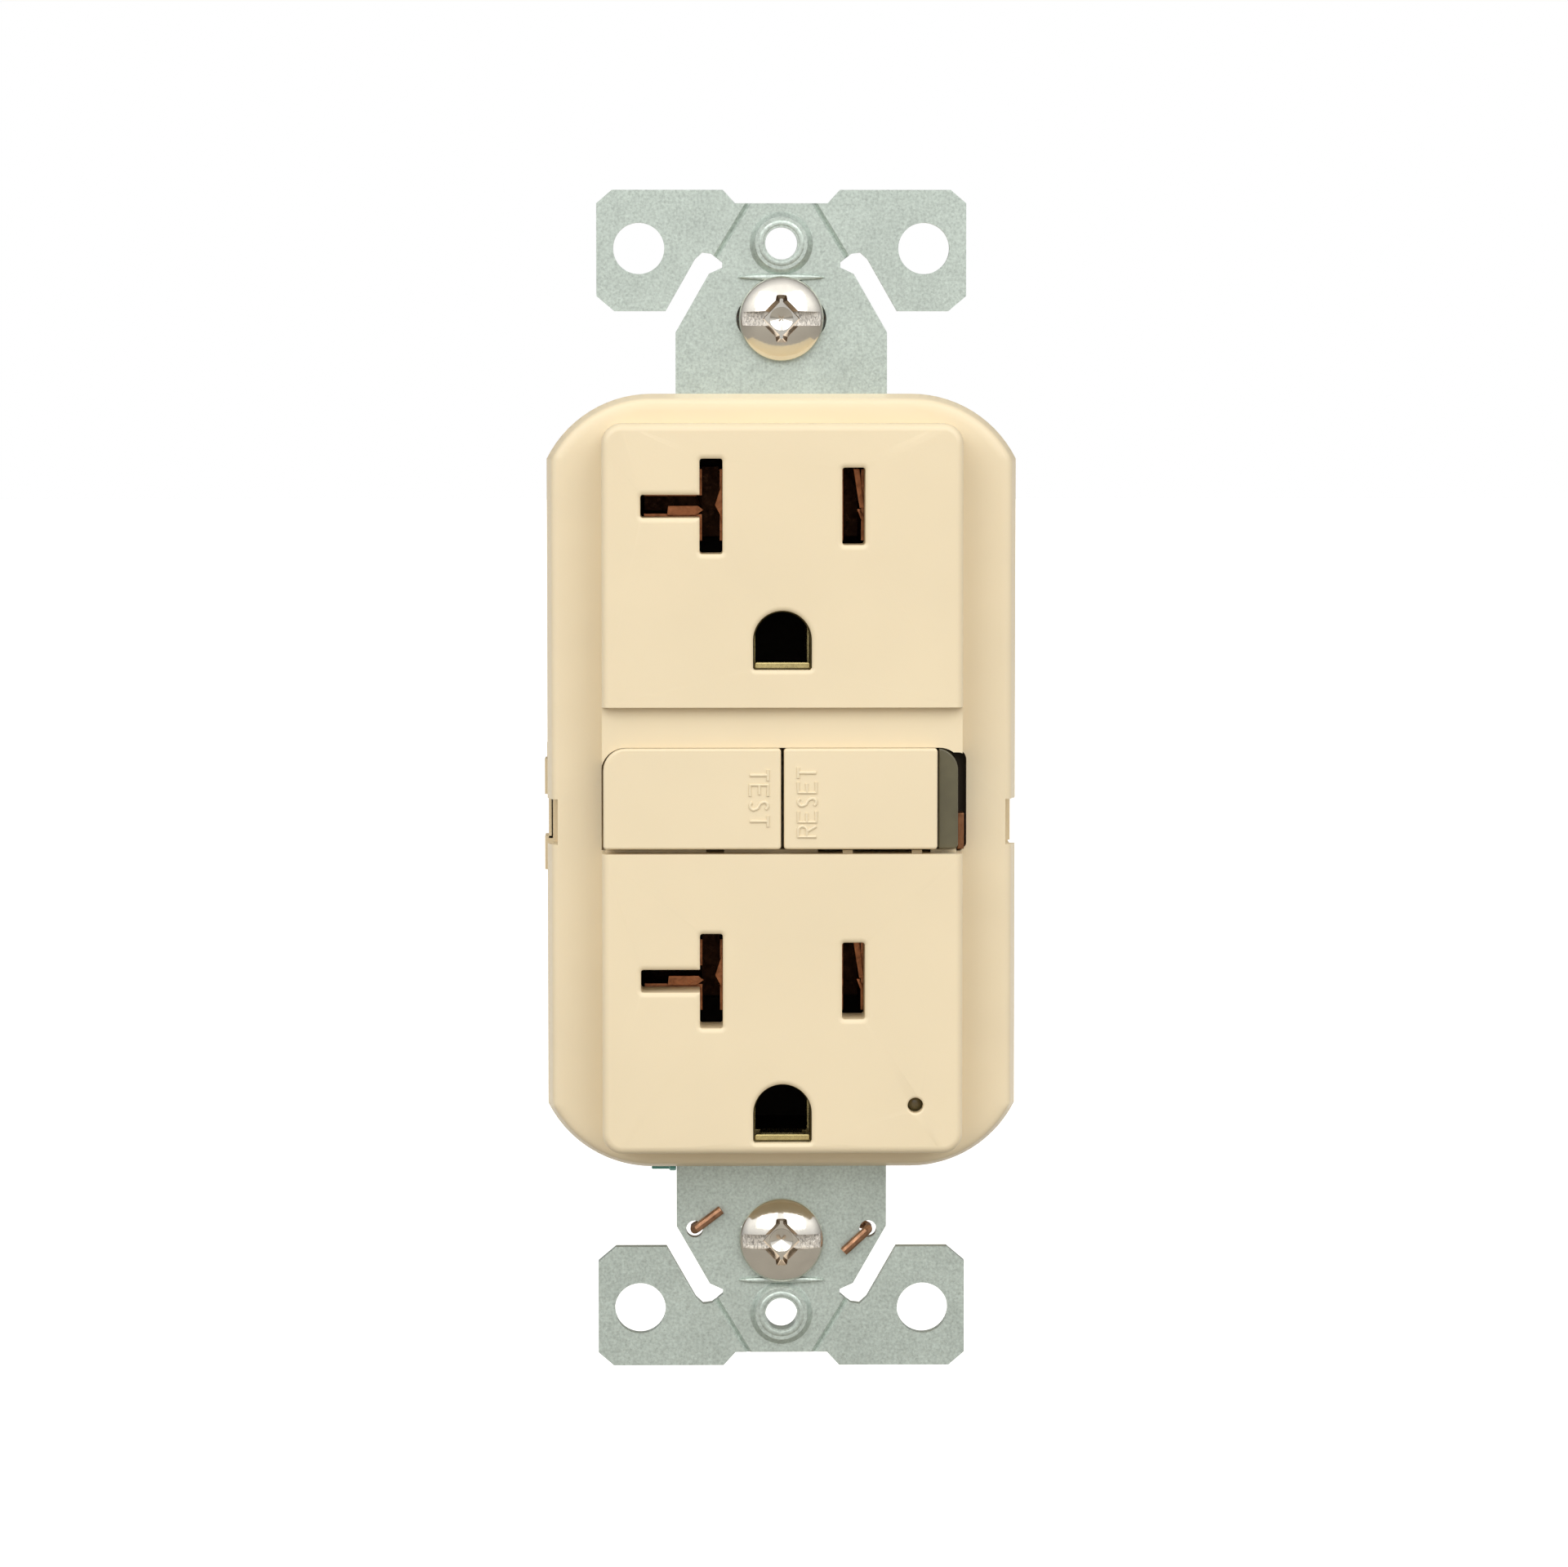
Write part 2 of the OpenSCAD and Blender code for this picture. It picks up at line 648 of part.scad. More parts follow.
// A round wire along a route
module wire(p, r) {
    sides = 10;
    t = headings(p);
    u = across(t, [0.3, 1, 0.2]);
    points = [for (i = [0:len(p) - 1], k = [0:sides - 1])
        p[i] + r * cos(360 * k / sides) * u[i] + r * sin(360 * k / sides) * cross(t[i], u[i])];
    skin = [for (i = [0:len(p) - 2], k = [0:sides - 1])
        let (n = (k + 1) % sides)
        [i * sides + k, (i + 1) * sides + k, (i + 1) * sides + n, i * sides + n]];
    last = (len(p) - 1) * sides;
    caps = [[for (k = [0:sides - 1]) k], [for (k = [sides - 1:-1:0]) last + k]];
    polyhedron(points, concat(skin, caps), convexity = 10);
}

// A number 6 screw with a domed head and a combination recess
module box_screw(s) color(nickel) translate([0, 0, s * box_screw_z]) {
    head_r = 3.8;
    dome_r = 5.4;
    head_h = 2.1;
    back_y = strap_front - 0.05;
    difference() {
        union() {
            rod_y([0, 0], [back_y, 1.3], 1.45);
            rod_y([0, 0], [1.2, 24], 1.75);
            intersection() {
                translate([0, back_y - head_h + dome_r, 0]) sphere(dome_r);
                rod_y([0, 0], [back_y - head_h, back_y], head_r);
            }
        }
        block([-5, 5], [back_y - 3, back_y - head_h + 1.4], [-0.62, 0.62]);
        block([-0.45, 0.45], [back_y - 3, back_y - head_h + 1.5], [-2.2, 2.2]);
        translate([0, back_y - head_h + 1.55, 0]) rotate([90, 0, 0])
            cylinder(r = 1.95, h = 3, $fn = 4);
        cone_y([0, 0], [back_y - head_h + 1.54, back_y - head_h + 1.9], 1, 0.1);
    }
}
module box_screw_upper() box_screw(1);
module box_screw_lower() box_screw(-1);

// Fibre washer that keeps the upper box screw in its slot
module screw_retainer() color(white) translate([0, 0, box_screw_z]) difference() {
    slab([0.1, 0.9]) round_rect(9, 8, 1.5);
    rod_y([0, 0], [-5, 5], 1.8);
}

// ---- Current path ----

// Two leaves and their foot for one blade; the left bar also takes a cross blade
module blade_leaves(cross) {
    inner = blade_x - leaf_gap;
    outer = blade_x + leaf_gap;
    block([inner - leaf_t, inner], [leaf_front, bus_y[1]], [-leaf_half_h, leaf_half_h]);
    difference() {
        block([outer, outer + leaf_t], [leaf_front, bus_y[1]], [-leaf_half_h, leaf_half_h]);
        if (cross) block([0, 20], [-5, bus_y[0] - 1], [-0.85, 0.85]);
    }
    block([inner - leaf_t, bus_x[0] + e], bus_y, [-leaf_half_h, leaf_half_h]);
    if (cross) for (s = [-1, 1])
        block([outer + leaf_t - e, 12.35], [leaf_front, bus_y[1]], [s * 1.05 - leaf_t / 2, s * 1.05 + leaf_t / 2]);
}

// A bus bar with the leaves of both outlets and the load terminal's plate, drawn on the right
module bus_bar(cross) {
    block(bus_x, bus_y, [-21, 28.5]);
    for (z = outlets) translate([0, 0, z]) blade_leaves(cross);
    block([bus_x[1] - e, plate_x[1]], bus_y, [-terminal_z - 4, -terminal_z + 4]);
    difference() {
        union() {
            block(plate_x, [bus_y[0], 20], [-terminal_z - 4, -terminal_z + 4]);
            block(plate_x, [tray_floor[1] + 0.1, 20], [-terminal_z - terminal_half_h, -terminal_z + terminal_half_h]);
        }
        rod_x([terminal_y, -terminal_z], [10, 20], terminal_screw_r + 0.15);
    }
}

module hot_bus() color(brass) {
    x = pin_x + pole_dx;
    bus_bar(false);
    block([x - pole_half_w, bus_x[1]], [bus_y[1] - e, tab_y[1]], [-10.6, -9.8]);
    block([x - pole_half_w, x + pole_half_w], tab_y, [-9.8 - e, mech_z - contact_dz + 1]);
    fixed_pad([x, mech_z - contact_dz]);
}

module neutral_bus() color(brass) {
    x = pin_x - pole_dx;
    mirror([1, 0, 0]) bus_bar(true);
    block([-10.6, -bus_x[0]], [bus_y[1] - e, tab_y[1]], [-10.6, -9.8]);
    block([-10.6, x + pole_half_w], tab_y, [-10.6, -8.7]);
    block([x - pole_half_w, x + pole_half_w], tab_y, [-8.7 - e, mech_z - contact_dz + 1]);
    fixed_pad([x, mech_z - contact_dz]);
}

module fixed_pad(p) {
    rod_y(p, [fixed_pad_y[0] - e, fixed_pad_y[1]], contact_r);
}

// A line terminal, drawn on the right: a plate in the chamber and a foot on the circuit board
module line_terminal() color(brass) {
    difference() {
        block(plate_x, [tray_floor[1] + 0.1, board_y],
              [terminal_z - terminal_half_h, terminal_z + terminal_half_h]);
        rod_x([terminal_y, terminal_z], [10, 20], terminal_screw_r + 0.15);
        // clearance below the screw for the wires
        for (s = [-1, 1])
            block([10, 20], [21, board_y + 1], [terminal_z + s * 3.5 - 1.9, terminal_z + s * 3.5 + 1.9]);
    }
    block([10, plate_x[0] + e], [board_y - 0.8, board_y], [terminal_z - 1.5, terminal_z + 1.5]);
}
module line_hot_terminal() line_terminal();
module line_neutral_terminal() mirror([1, 0, 0]) line_terminal();

// A terminal screw, drawn on the right at height z
module terminal_screw(z, tint) color(tint) difference() {
    union() {
        rod_x([terminal_y, z], [13.9, terminal_head_x[0] + e], terminal_screw_r);
        rod_x([terminal_y, z], terminal_head_x, terminal_head_r);
    }
    block([19.5, 22], [10, 22], [z - 0.6, z + 0.6]);
    block([19.3, 22], [terminal_y - 0.5, terminal_y + 0.5], [z - 2, z + 2]);
}
module screw_line_hot() terminal_screw(terminal_z, brass);
module screw_load_hot() terminal_screw(-terminal_z, brass);
module screw_line_neutral() mirror([1, 0, 0]) terminal_screw(terminal_z, steel);
module screw_load_neutral() mirror([1, 0, 0]) terminal_screw(-terminal_z, steel);

// A clamp plate, which its screw draws out against the wires
module clamp_plate(z) color(steel) difference() {
    block(clamp_x, [terminal_y - 3.5, terminal_y + 3.5], [z - 4.9, z + 4.9]);
    rod_x([terminal_y, z], [10, 20], terminal_screw_r + 0.05);
    // grooves that bite the wires
    for (dz = [-wire_dz, wire_dz], y = [-2, 0, 2])
        block([clamp_x[1] - 0.2, 20], [terminal_y + y - 0.2, terminal_y + y + 0.2], [z + dz - 1.4, z + dz + 1.4]);
}
module clamp_line_hot() clamp_plate(terminal_z);
module clamp_load_hot() clamp_plate(-terminal_z);
module clamp_line_neutral() mirror([1, 0, 0]) clamp_plate(terminal_z);
module clamp_load_neutral() mirror([1, 0, 0]) clamp_plate(-terminal_z);

// ---- Buttons and lights ----

// A button's shell, with one upper corner round where r is above 0
module button_shell(x, r) {
    difference() {
        slab([button_front, button_skirt]) union() {
            rect([x[0] + r, x[1]], [button_bottom, button_top]);
            rect([x[0], x[1]], [button_bottom, button_top - r]);
            if (r > 0) translate([x[0] + r, button_top - r]) circle(r);
        }
        block([x[0] + button_wall, x[1] - button_wall], [button_top_y, 0],
              [button_bottom + button_wall, button_top - button_wall - r * 0.5]);
    }
}

module test_button() color(ivory) {
    button_shell(test_x, 2);
    rod_y([test_stem_x, mech_z], [button_top_y - e, test_stem_end], test_stem_r);
}

module reset_button() color(ivory) difference() {
    union() {
        button_shell(reset_x, 0);
        rod_y([pin_x, mech_z], [button_top_y - e, -5.6], 2);
    }
    rod_y([pin_x, mech_z], [button_top_y, 0], pin_r);
}

// The pin under the reset button, with a cone-shaped head that hooks behind the latch plate
module reset_pin() color(steel) {
    rod_y([pin_x, mech_z], [button_top_y, pin_head_y[0] + e], pin_r);
    rod_y([pin_x, mech_z], [pin_head_y[0], pin_head_y[0] + 0.4], 1.7);
    cone_y([pin_x, mech_z], [pin_head_y[0] + 0.4, pin_head_y[1]], 1.7, 0.6);
}

module reset_spring() color(steel)
    translate([pin_x, button_top_y, mech_z]) helix(button_floor_y - button_top_y, 2.6, 0.25, 3);
module test_spring() color(steel)
    translate([test_stem_x, button_top_y, mech_z]) helix(button_floor_y - button_top_y, 2.1, 0.25, 3);

// The leaf that the test stem presses, with its leg down to the board
module test_contact() color(copper) {
    block([-10.4, -4], [5.7, 6], [mech_z - 1, mech_z + 1]);
    block([-4.3, -4], [5.7, board_y], [mech_z - 1, mech_z + 1]);
}

// The smoked window beside the reset button, which lights when the outlets are live
module indicator_lens() color(grey) {
    r = 2;
    slab([face_front + 1, strap_front - 0.2]) intersection() {
        rect(lens_x, [button_bottom, button_top]);
        union() {
            rect([lens_x[0] - r, lens_x[1]], [button_bottom, button_top - r]);
            rect([lens_x[0] - r, lens_x[1] - r], [button_bottom, button_top]);
            translate([lens_x[1] - r, button_top - r]) circle(r);
        }
    }
}

function lamp_leads() = [
    for (dz = [-0.6, 0.6]) [14.9, mech_z + dz],
    for (dx = [-0.6, 0.6]) [signal_pos[0] + dx, signal_pos[1]]
];

module status_lamp() color([0.55, 0.85, 0.55]) {
    rod_y([14.9, mech_z], [-1.2, 1.2], 1);
    rod_y([14.9, mech_z], [1.2 - e, 1.6], 1.2);
    for (i = [0, 1]) rod_y(lamp_leads()[i], [1.5, board_y], 0.2);
}

module signal_lamp() color([0.25, 0.07, 0.06]) {
    top_y = face_front + cover_wall + 0.05;
    translate([signal_pos[0], top_y + 1.5, signal_pos[1]]) sphere(1.5);
    rod_y(signal_pos, [top_y + 1.5, top_y + 4], 1.5);
    rod_y(signal_pos, [top_y + 4 - e, top_y + 4.6], 1.8);
    for (i = [2, 3]) rod_y(lamp_leads()[i], [top_y + 4.5, board_y], 0.2);
}

// ---- Contact mechanism ----

// The block that carries both contact bridges round the reset pin
module latch_block() color(dark) difference() {
    union() {
        block([pin_x - 2.5, pin_x + 2.5], [14.1, latch_y[0] - 0.05], [mech_z - 3.6, mech_z + 3.6]);
        block([pin_x - pole_dx - pole_half_w, pin_x + pole_dx + pole_half_w], [bridge_y[1], 16.9],
              [mech_z - 1.4, mech_z + 1.4]);
    }
    rod_y([pin_x, mech_z], [5, 25], pin_r + 0.15);
    rod_y([pin_x, mech_z], [5, 16.3], 2.3);
}

// The sliding plate that holds the pin's head, with a keyhole
module latch_plate() color(steel) difference() {
    block([pin_x - 2.4, pin_x + 2.4], latch_y, [mech_z - 6, mech_z + 3.6]);
    rod_y([pin_x, mech_z], [15, 20], pin_r + 0.12);
    block([pin_x - pin_r - 0.12, pin_x + pin_r + 0.12], [15, 20], [mech_z - plunger_travel, mech_z]);
    rod_y([pin_x, mech_z - plunger_travel], [15, 20], 1.85);
}

module block_spring() color(steel)
    translate([pin_x, tray_floor[1] + 0.02, mech_z]) helix(16.28 - tray_floor[1] - 0.02, 1.95, 0.2, 4);

// A contact bridge with a pad at each end
module bridge(x) color(copper) {
    block([x - pole_half_w, x + pole_half_w], bridge_y, [mech_z - 7.3, mech_z + 7.3]);
    for (s = [-1, 1])
        rod_y([x, mech_z + s * contact_dz], [moving_pad_y[0], moving_pad_y[1] + e], contact_r);
}
module neutral_bridge() bridge(pin_x - pole_dx);
module hot_bridge() bridge(pin_x + pole_dx);

module solenoid_bobbin() color(white) difference() {
    union() {
        rod_z([pin_x, solenoid_y], [yoke_z[0] + yoke_t, yoke_z[1] - yoke_t], 2.2);
        for (z = [yoke_z[0] + yoke_t, yoke_z[1] - 2 * yoke_t])
            rod_z([pin_x, solenoid_y], [z, z + yoke_t], 4.45);
    }
    rod_z([pin_x, solenoid_y], [-40, 0], plunger_r + 0.15);
}

module solenoid_coil() color(copper) difference() {
    rod_z([pin_x, solenoid_y], [yoke_z[0] + 2 * yoke_t, yoke_z[1] - 2 * yoke_t], 4.2);
    rod_z([pin_x, solenoid_y], [-40, 0], 2.2);
}

module solenoid_yoke() color(steel) difference() {
    union() {
        for (z = [yoke_z[0], yoke_z[1] - yoke_t])
            block([pin_x - 4.5, 12.3], [13.7, board_y - 0.1], [z, z + yoke_t]);
        block([11.6, 12.3], [13.7, board_y - 0.1], yoke_z);
    }
    rod_z([pin_x, solenoid_y], [-40, 0], plunger_r + 0.15);
}

module plunger() color(steel) {
    rod_z([pin_x, solenoid_y], [plunger_head_z[1] - e, nose_z], plunger_r);
    rod_z([pin_x, solenoid_y], plunger_head_z, 2.8);
}

module plunger_spring() color(steel)
    translate([pin_x, solenoid_y, yoke_z[0] - e]) rotate([-90, 0, 0])
        helix(yoke_z[0] - plunger_head_z[1] - 2 * e, 2.1, 0.2, 2.5);

// ---- Line conductors and sensor ----

// Each conductor runs through the sensor's centre, and on to a line contact
module hot_conductor() color(copper) {
    x = pin_x + pole_dx;
    z = sensor_pos[1];
    block([0.6, 2], [tab_y[0], board_y], [z - 0.6, z + 0.6]);
    block([0.6, 12.3], tab_y, [z - 0.7, z + 0.7]);
    block([10.8, 12.3], tab_y, [mech_z + contact_dz - 1, z]);
    block([x - pole_half_w, x + pole_half_w], tab_y, [mech_z + contact_dz - 1, mech_z + contact_dz + 1.1]);
    fixed_pad([x, mech_z + contact_dz]);
}

module neutral_conductor() color(copper) {
    x = pin_x - pole_dx;
    z = sensor_pos[1];
    block([-2, -0.6], [tab_y[0], board_y], [z - 0.6, z + 0.6]);
    block([-7.3, -0.6], tab_y, [z - 0.7, z + 0.7]);
    block([-7.3, -5.9], tab_y, [6.2, z]);
    block([-7.3, x + pole_half_w], tab_y, [6.2, 7.5]);
    block([x - pole_half_w, x + pole_half_w], tab_y, [mech_z + contact_dz - 1, 6.2 + e]);
    fixed_pad([x, mech_z + contact_dz]);
}

// The cup that holds both cores, with a tube for the conductors
module sensor_boat() color(dark) difference() {
    rod_y(sensor_pos, [14.4, board_y - 0.1], sensor_r);
    difference() {
        rod_y(sensor_pos, [14, board_y - 0.9], sensor_r - 0.6);
        rod_y(sensor_pos, [13, board_y], 3.2);
    }
    rod_y(sensor_pos, [13, board_y + 1], 2.6);
}

module ring(y, r_out, r_in) difference() {
    rod_y(sensor_pos, y, r_out);
    rod_y(sensor_pos, [y[0] - 1, y[1] + 1], r_in);
}

// A winding covers its core all over
module winding(y) color(copper) difference() {
    ring(y, 6.9, 3.4);
    ring([y[0] + 0.5, y[1] - 0.5], 6.4, 3.9);
}
module core(y) color(grey) ring([y[0] + 0.5, y[1] - 0.5], 6.4, 3.9);

sense_y = [14.8, 18.1];
neutral_y = [18.5, 21.9];
module sense_core() core(sense_y);
module sense_winding() winding(sense_y);
module neutral_core() core(neutral_y);
module neutral_winding() winding(neutral_y);

// ---- Circuit board ----

module circuit_board() color(board_green) {
    narrow = chamber_x - chamber_wall - 0.2;
    difference() {
        tray_block([board_y, board_y + 1.4], 0.1);
        both_sides() both_ends() {
            block([narrow, 30], [20, 30],
                  [terminal_z - chamber_half_h - chamber_wall - 0.2, terminal_z + chamber_half_h + chamber_wall + 0.2]);
            rod_y(post_pos, [20, 30], 2.6);
        }
    }
}

module varistor() color([0.15, 0.3, 0.55]) {
    rod_x([18.3, -17], [-8, -4.4], 4.4);
    for (dz = [-2.5, 2.5]) rod_y([-6.2, -17 + dz], [18, board_y], 0.3);
}

module capacitors() color([0.2, 0.22, 0.3]) {
    rod_y([-8.5, -5.5], [15.5, board_y], 3.1);
    block([-14.2, -9.6], [15.5, board_y], [-31.6, -27.8]);
    block([2, 9], [21.3, board_y], [8.5, 11.5]);
}

module control_chip() color(dark) {
    block([-3.6, 0.6], [21.2, 22.7], [-3, 2.2]);
    for (i = [0:3], s = [-1, 1])
        block([-1.5 + s * 2.2 - 0.3, -1.5 + s * 2.2 + 0.3], [22.2, board_y], [-2.5 + i * 1.27, -2.1 + i * 1.27]);
}

module thyristor() color(dark) {
    block([4.4, 9], [17, 21.5], [-31.9, -29.8]);
    for (x = [5.4, 6.7, 8]) block([x - 0.25, x + 0.25], [21.5 - e, board_y], [-31.1, -30.6]);
}

module resistors() color([0.75, 0.65, 0.5]) {
    for (z = [-25, -27.5, -30]) {
        rod_x([21.9, z], [-7.5, -2], 0.9);
        rod_x([21.9, z], [-9, -0.5], 0.25);
        for (x = [-8.75, -0.75]) rod_y([x, z], [21.9, board_y], 0.25);
    }
}

cover();
rear_housing();
separator();
housing_screws();
strap();
strap_rivets();
ground_contact_upper();
ground_contact_lower();
ground_screw();
ground_clip();
box_screw_upper();
box_screw_lower();
screw_retainer();
neutral_bus();
hot_bus();
line_neutral_terminal();
line_hot_terminal();
screw_line_neutral();
screw_line_hot();
screw_load_neutral();
screw_load_hot();
clamp_line_neutral();
clamp_line_hot();
clamp_load_neutral();
clamp_load_hot();
test_button();
test_spring();
test_contact();
reset_button();
reset_pin();
reset_spring();
indicator_lens();
status_lamp();
signal_lamp();
latch_block();
latch_plate();
block_spring();
neutral_bridge();
hot_bridge();
solenoid_bobbin();
solenoid_coil();
solenoid_yoke();
plunger();
plunger_spring();
neutral_conductor();
hot_conductor();
sensor_boat();
sense_core();
sense_winding();
neutral_core();
neutral_winding();
circuit_board();
varistor();
capacitors();
control_chip();
thyristor();
resistors();
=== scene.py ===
"""Ivory 20 A duplex ground-fault receptacle, seen from the front as in a catalogue picture.

Lengths in the helpers are millimetres in the CAD frame: X right, Y into the wall, Z up. Meshes are stored in
metres.
"""

import json
import math

import bmesh
import bpy
from mathutils import Matrix, Vector


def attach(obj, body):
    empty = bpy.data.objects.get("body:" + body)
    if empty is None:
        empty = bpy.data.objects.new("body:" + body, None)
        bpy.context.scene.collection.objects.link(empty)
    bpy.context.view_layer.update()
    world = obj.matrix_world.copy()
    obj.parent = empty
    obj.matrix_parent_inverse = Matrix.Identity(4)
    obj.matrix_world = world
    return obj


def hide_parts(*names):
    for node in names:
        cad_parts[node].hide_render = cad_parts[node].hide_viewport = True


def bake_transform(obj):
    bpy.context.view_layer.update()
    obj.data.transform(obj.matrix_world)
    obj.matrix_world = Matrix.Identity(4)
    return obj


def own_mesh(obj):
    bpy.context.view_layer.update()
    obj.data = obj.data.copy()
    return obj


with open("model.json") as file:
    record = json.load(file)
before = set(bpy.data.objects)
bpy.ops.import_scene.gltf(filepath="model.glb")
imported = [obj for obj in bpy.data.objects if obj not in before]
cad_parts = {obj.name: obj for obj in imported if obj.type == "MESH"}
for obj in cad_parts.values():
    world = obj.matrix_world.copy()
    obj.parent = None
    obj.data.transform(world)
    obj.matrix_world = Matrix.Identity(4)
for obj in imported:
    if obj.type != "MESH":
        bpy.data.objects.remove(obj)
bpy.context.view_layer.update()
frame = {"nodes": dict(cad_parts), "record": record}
NODES = frame["nodes"]
MM = 0.001

# ---- Main sizes, the same as the CAD part's ----

FACE_Y = -8.3
BAND_Y = -7.3
STRAP_Y = -1.3
FLANGE_Y = -3.3
FACE_HALF = (16.12, 32.67)
SHIFT_Z = -0.3
OUTLETS_Z = (25.0, -17.4)
GROUND_DROP = 11.9
BLADE_X = 6.35
BUTTON_Z = (-5.605, 3.425)
BUTTON_Y = FACE_Y + 0.1
SIGNAL_LAMP = (11.9, SHIFT_Z - 28.3)
BOX_SCREW_Z = 41.67
PLATE_HOLE_Z = 48.42
BEAD_Z = 45.38
FLOOR_Z = -120


# ---- Outlines: lists of (x, z), anticlockwise as seen from the front ----


def arc(cx, cz, r, start, end, steps):
    angles = [math.radians(start + (end - start) * i / steps) for i in range(steps + 1)]
    return [(cx + r * math.cos(a), cz + r * math.sin(a)) for a in angles]


def circle(r, at, steps):
    return arc(at[0], at[1], r, 0, 360 * (steps - 1) / steps, steps - 1)


def rounded(x0, x1, z0, z1, radii, steps):
    """A rectangle with round corners. radii is one radius, or those of the lower left, lower right, upper right
    and upper left corners."""
    if not isinstance(radii, tuple):
        radii = (radii,) * 4
    corners = ((x0, z0, 1, 1, 180), (x1, z0, -1, 1, 270), (x1, z1, -1, -1, 0), (x0, z1, 1, -1, 90))
    points = []
    for (x, z, sx, sz, start), r in zip(corners, radii):
        points += arc(x + sx * r, z + sz * r, r, start, start + 90, steps)
    return points


def soften(points, r, r_inner, steps=4):
    """A polygon with each corner rounded off, the ones that point inward by r_inner."""
    out = []
    for i, p in enumerate(points):
        p, a, b = Vector(p), Vector(points[i - 1]), Vector(points[(i + 1) % len(points)])
        u, v = (a - p).normalized(), (b - p).normalized()
        convex = (p - a).cross(b - p) > 0
        r_here = r if convex else r_inner
        half = math.acos(max(-1, min(1, u.dot(v)))) / 2
        centre = p + (u + v).normalized() * (r_here / math.sin(half))
        first = p + u * (r_here / math.tan(half)) - centre
        last = p + v * (r_here / math.tan(half)) - centre
        for k in range(steps + 1):
            out.append(tuple(centre + first.lerp(last, k / steps).normalized() * r_here))
    return out


def grow(points, d):
    """An outline with each side moved outward by d."""
    out = []
    for i, p in enumerate(points):
        p, a, b = Vector(p), Vector(points[i - 1]), Vector(points[(i + 1) % len(points)])
        before, after = (p - a).normalized(), (b - p).normalized()
        n1, n2 = Vector((before.y, -before.x)), Vector((after.y, -after.x))
        out.append(tuple(p + (n1 + n2) * (d / (1 + n1.dot(n2)))))
    return out


def moved(points, dx, dz):
    return [(x + dx, z + dz) for x, z in points]


def scaled(points, kx, kz):
    return [(x * kx, z * kz) for x, z in points]


def body_outline(inset):
    """The flange's outline: round corners cut off by straight sides."""
    w, r = 21.1 - inset, 10.5 - inset
    cx, cz = 11.7, 24.45
    cut = math.degrees(math.acos((w - cx) / r))
    points = []
    for start, sx, sz in ((cut, 1, 1), (90, -1, 1), (180 + cut, -1, -1), (270, 1, -1)):
        points += arc(sx * cx, sz * cz, r, start, start + 90 - cut, 18)
    return points


def neutral_slot(d):
    """The T slot, wider by d all round; so are the other openings of the face."""
    points = [(-7.38, -4.25), (-5.32, -4.25), (-5.32, 4.25), (-7.38, 4.25), (-7.38, 1.03), (-12.66, 1.03),
              (-12.66, -1.03), (-7.38, -1.03)]
    return soften(grow(points, d), 0.25 + d, 0.15)


def hot_slot(d):
    return rounded(BLADE_X - 1.03 - d, BLADE_X + 1.03 + d, -3.45 - d, 3.45 + d, 0.25 + d, 4)


def ground_hole(d):
    """Round at the top and flat at the bottom."""
    r, c, floor_z = 2.625 + d, 0.25 + d, 2.625 - 5.3 - d
    corners = arc(c - r, floor_z + c, c, 180, 270, 5) + arc(r - c, floor_z + c, c, 270, 360, 5)
    return corners + arc(0, 0, r, 0, 180, 24)


# ---- Meshes ----


def add_object(name, data):
    obj = bpy.data.objects.new(name, data)
    bpy.context.scene.collection.objects.link(obj)
    return obj


def mesh_object(name, vertices, faces):
    mesh = bpy.data.meshes.new(name)
    mesh.from_pydata([tuple(c * MM for c in v) for v in vertices], [], faces)
    mesh.update()
    return add_object(name, mesh)


def loft(name, sections):
    """A closed skin through outlines of equal length, given as (y, outline) from the front to the back."""
    n = len(sections[0][1])
    vertices = [(x, y, z) for y, outline in sections for x, z in outline]
    faces = [tuple(range(n)), tuple(reversed(range(len(vertices) - n, len(vertices))))]
    for i in range(len(sections) - 1):
        for k in range(n):
            a, b = i * n + k, i * n + (k + 1) % n
            faces.append((a, a + n, b + n, b))
    return mesh_object(name, vertices, faces)


def plate(name, outline, front, back, r_front=0.0, steps=5):
    """A slab whose front edge may be rounded."""
    sections = []
    for i in range(steps, 0, -1) if r_front else ():
        a = math.pi / 2 * i / steps
        sections.append((front + r_front * (1 - math.sin(a)), grow(outline, -r_front * (1 - math.cos(a)))))
    sections.append((front + r_front, outline))
    sections.append((back, outline))
    return loft(name, sections)


def mouth(shape, at, surface, width, depth):
    """A cutter that rounds an opening's edge: width across the surface, depth into it. It ends a little inside
    the opening, clear of its walls."""
    sections = [(surface - 1, moved(shape(width), *at))]
    steps, overlap = 5, 0.04
    for i in range(steps + 1):
        a = math.pi / 2 * i / steps
        outline = shape(width - (width + overlap) * math.sin(a))
        sections.append((surface + depth * (1 - math.cos(a)), moved(outline, *at)))
    return loft("cutter", sections)


def turned(name, profile, at, steps):
    """A body of revolution about Y, from (radius, y) pairs, front to back."""
    smallest = 0.004
    return loft(name, [(y, circle(max(r, smallest), at, steps)) for r, y in profile])


def ring(name, profile, at, steps=96):
    """A closed (radius, y) profile, turned about Y."""
    n = len(profile)
    vertices = []
    for x, z in circle(1, (0, 0), steps):
        vertices += [(at[0] + r * x, y, at[1] + r * z) for r, y in profile]
    faces = []
    for i in range(steps):
        for k in range(n):
            a, b = i * n, (i + 1) % steps * n
            faces.append((a + k, a + (k + 1) % n, b + (k + 1) % n, b + k))
    return mesh_object(name, vertices, faces)


def box(x, y, z):
    """A box from three pairs of limits."""
    return plate("box", rounded(x[0], x[1], z[0], z[1], 0.0001, 1), y[0], y[1])


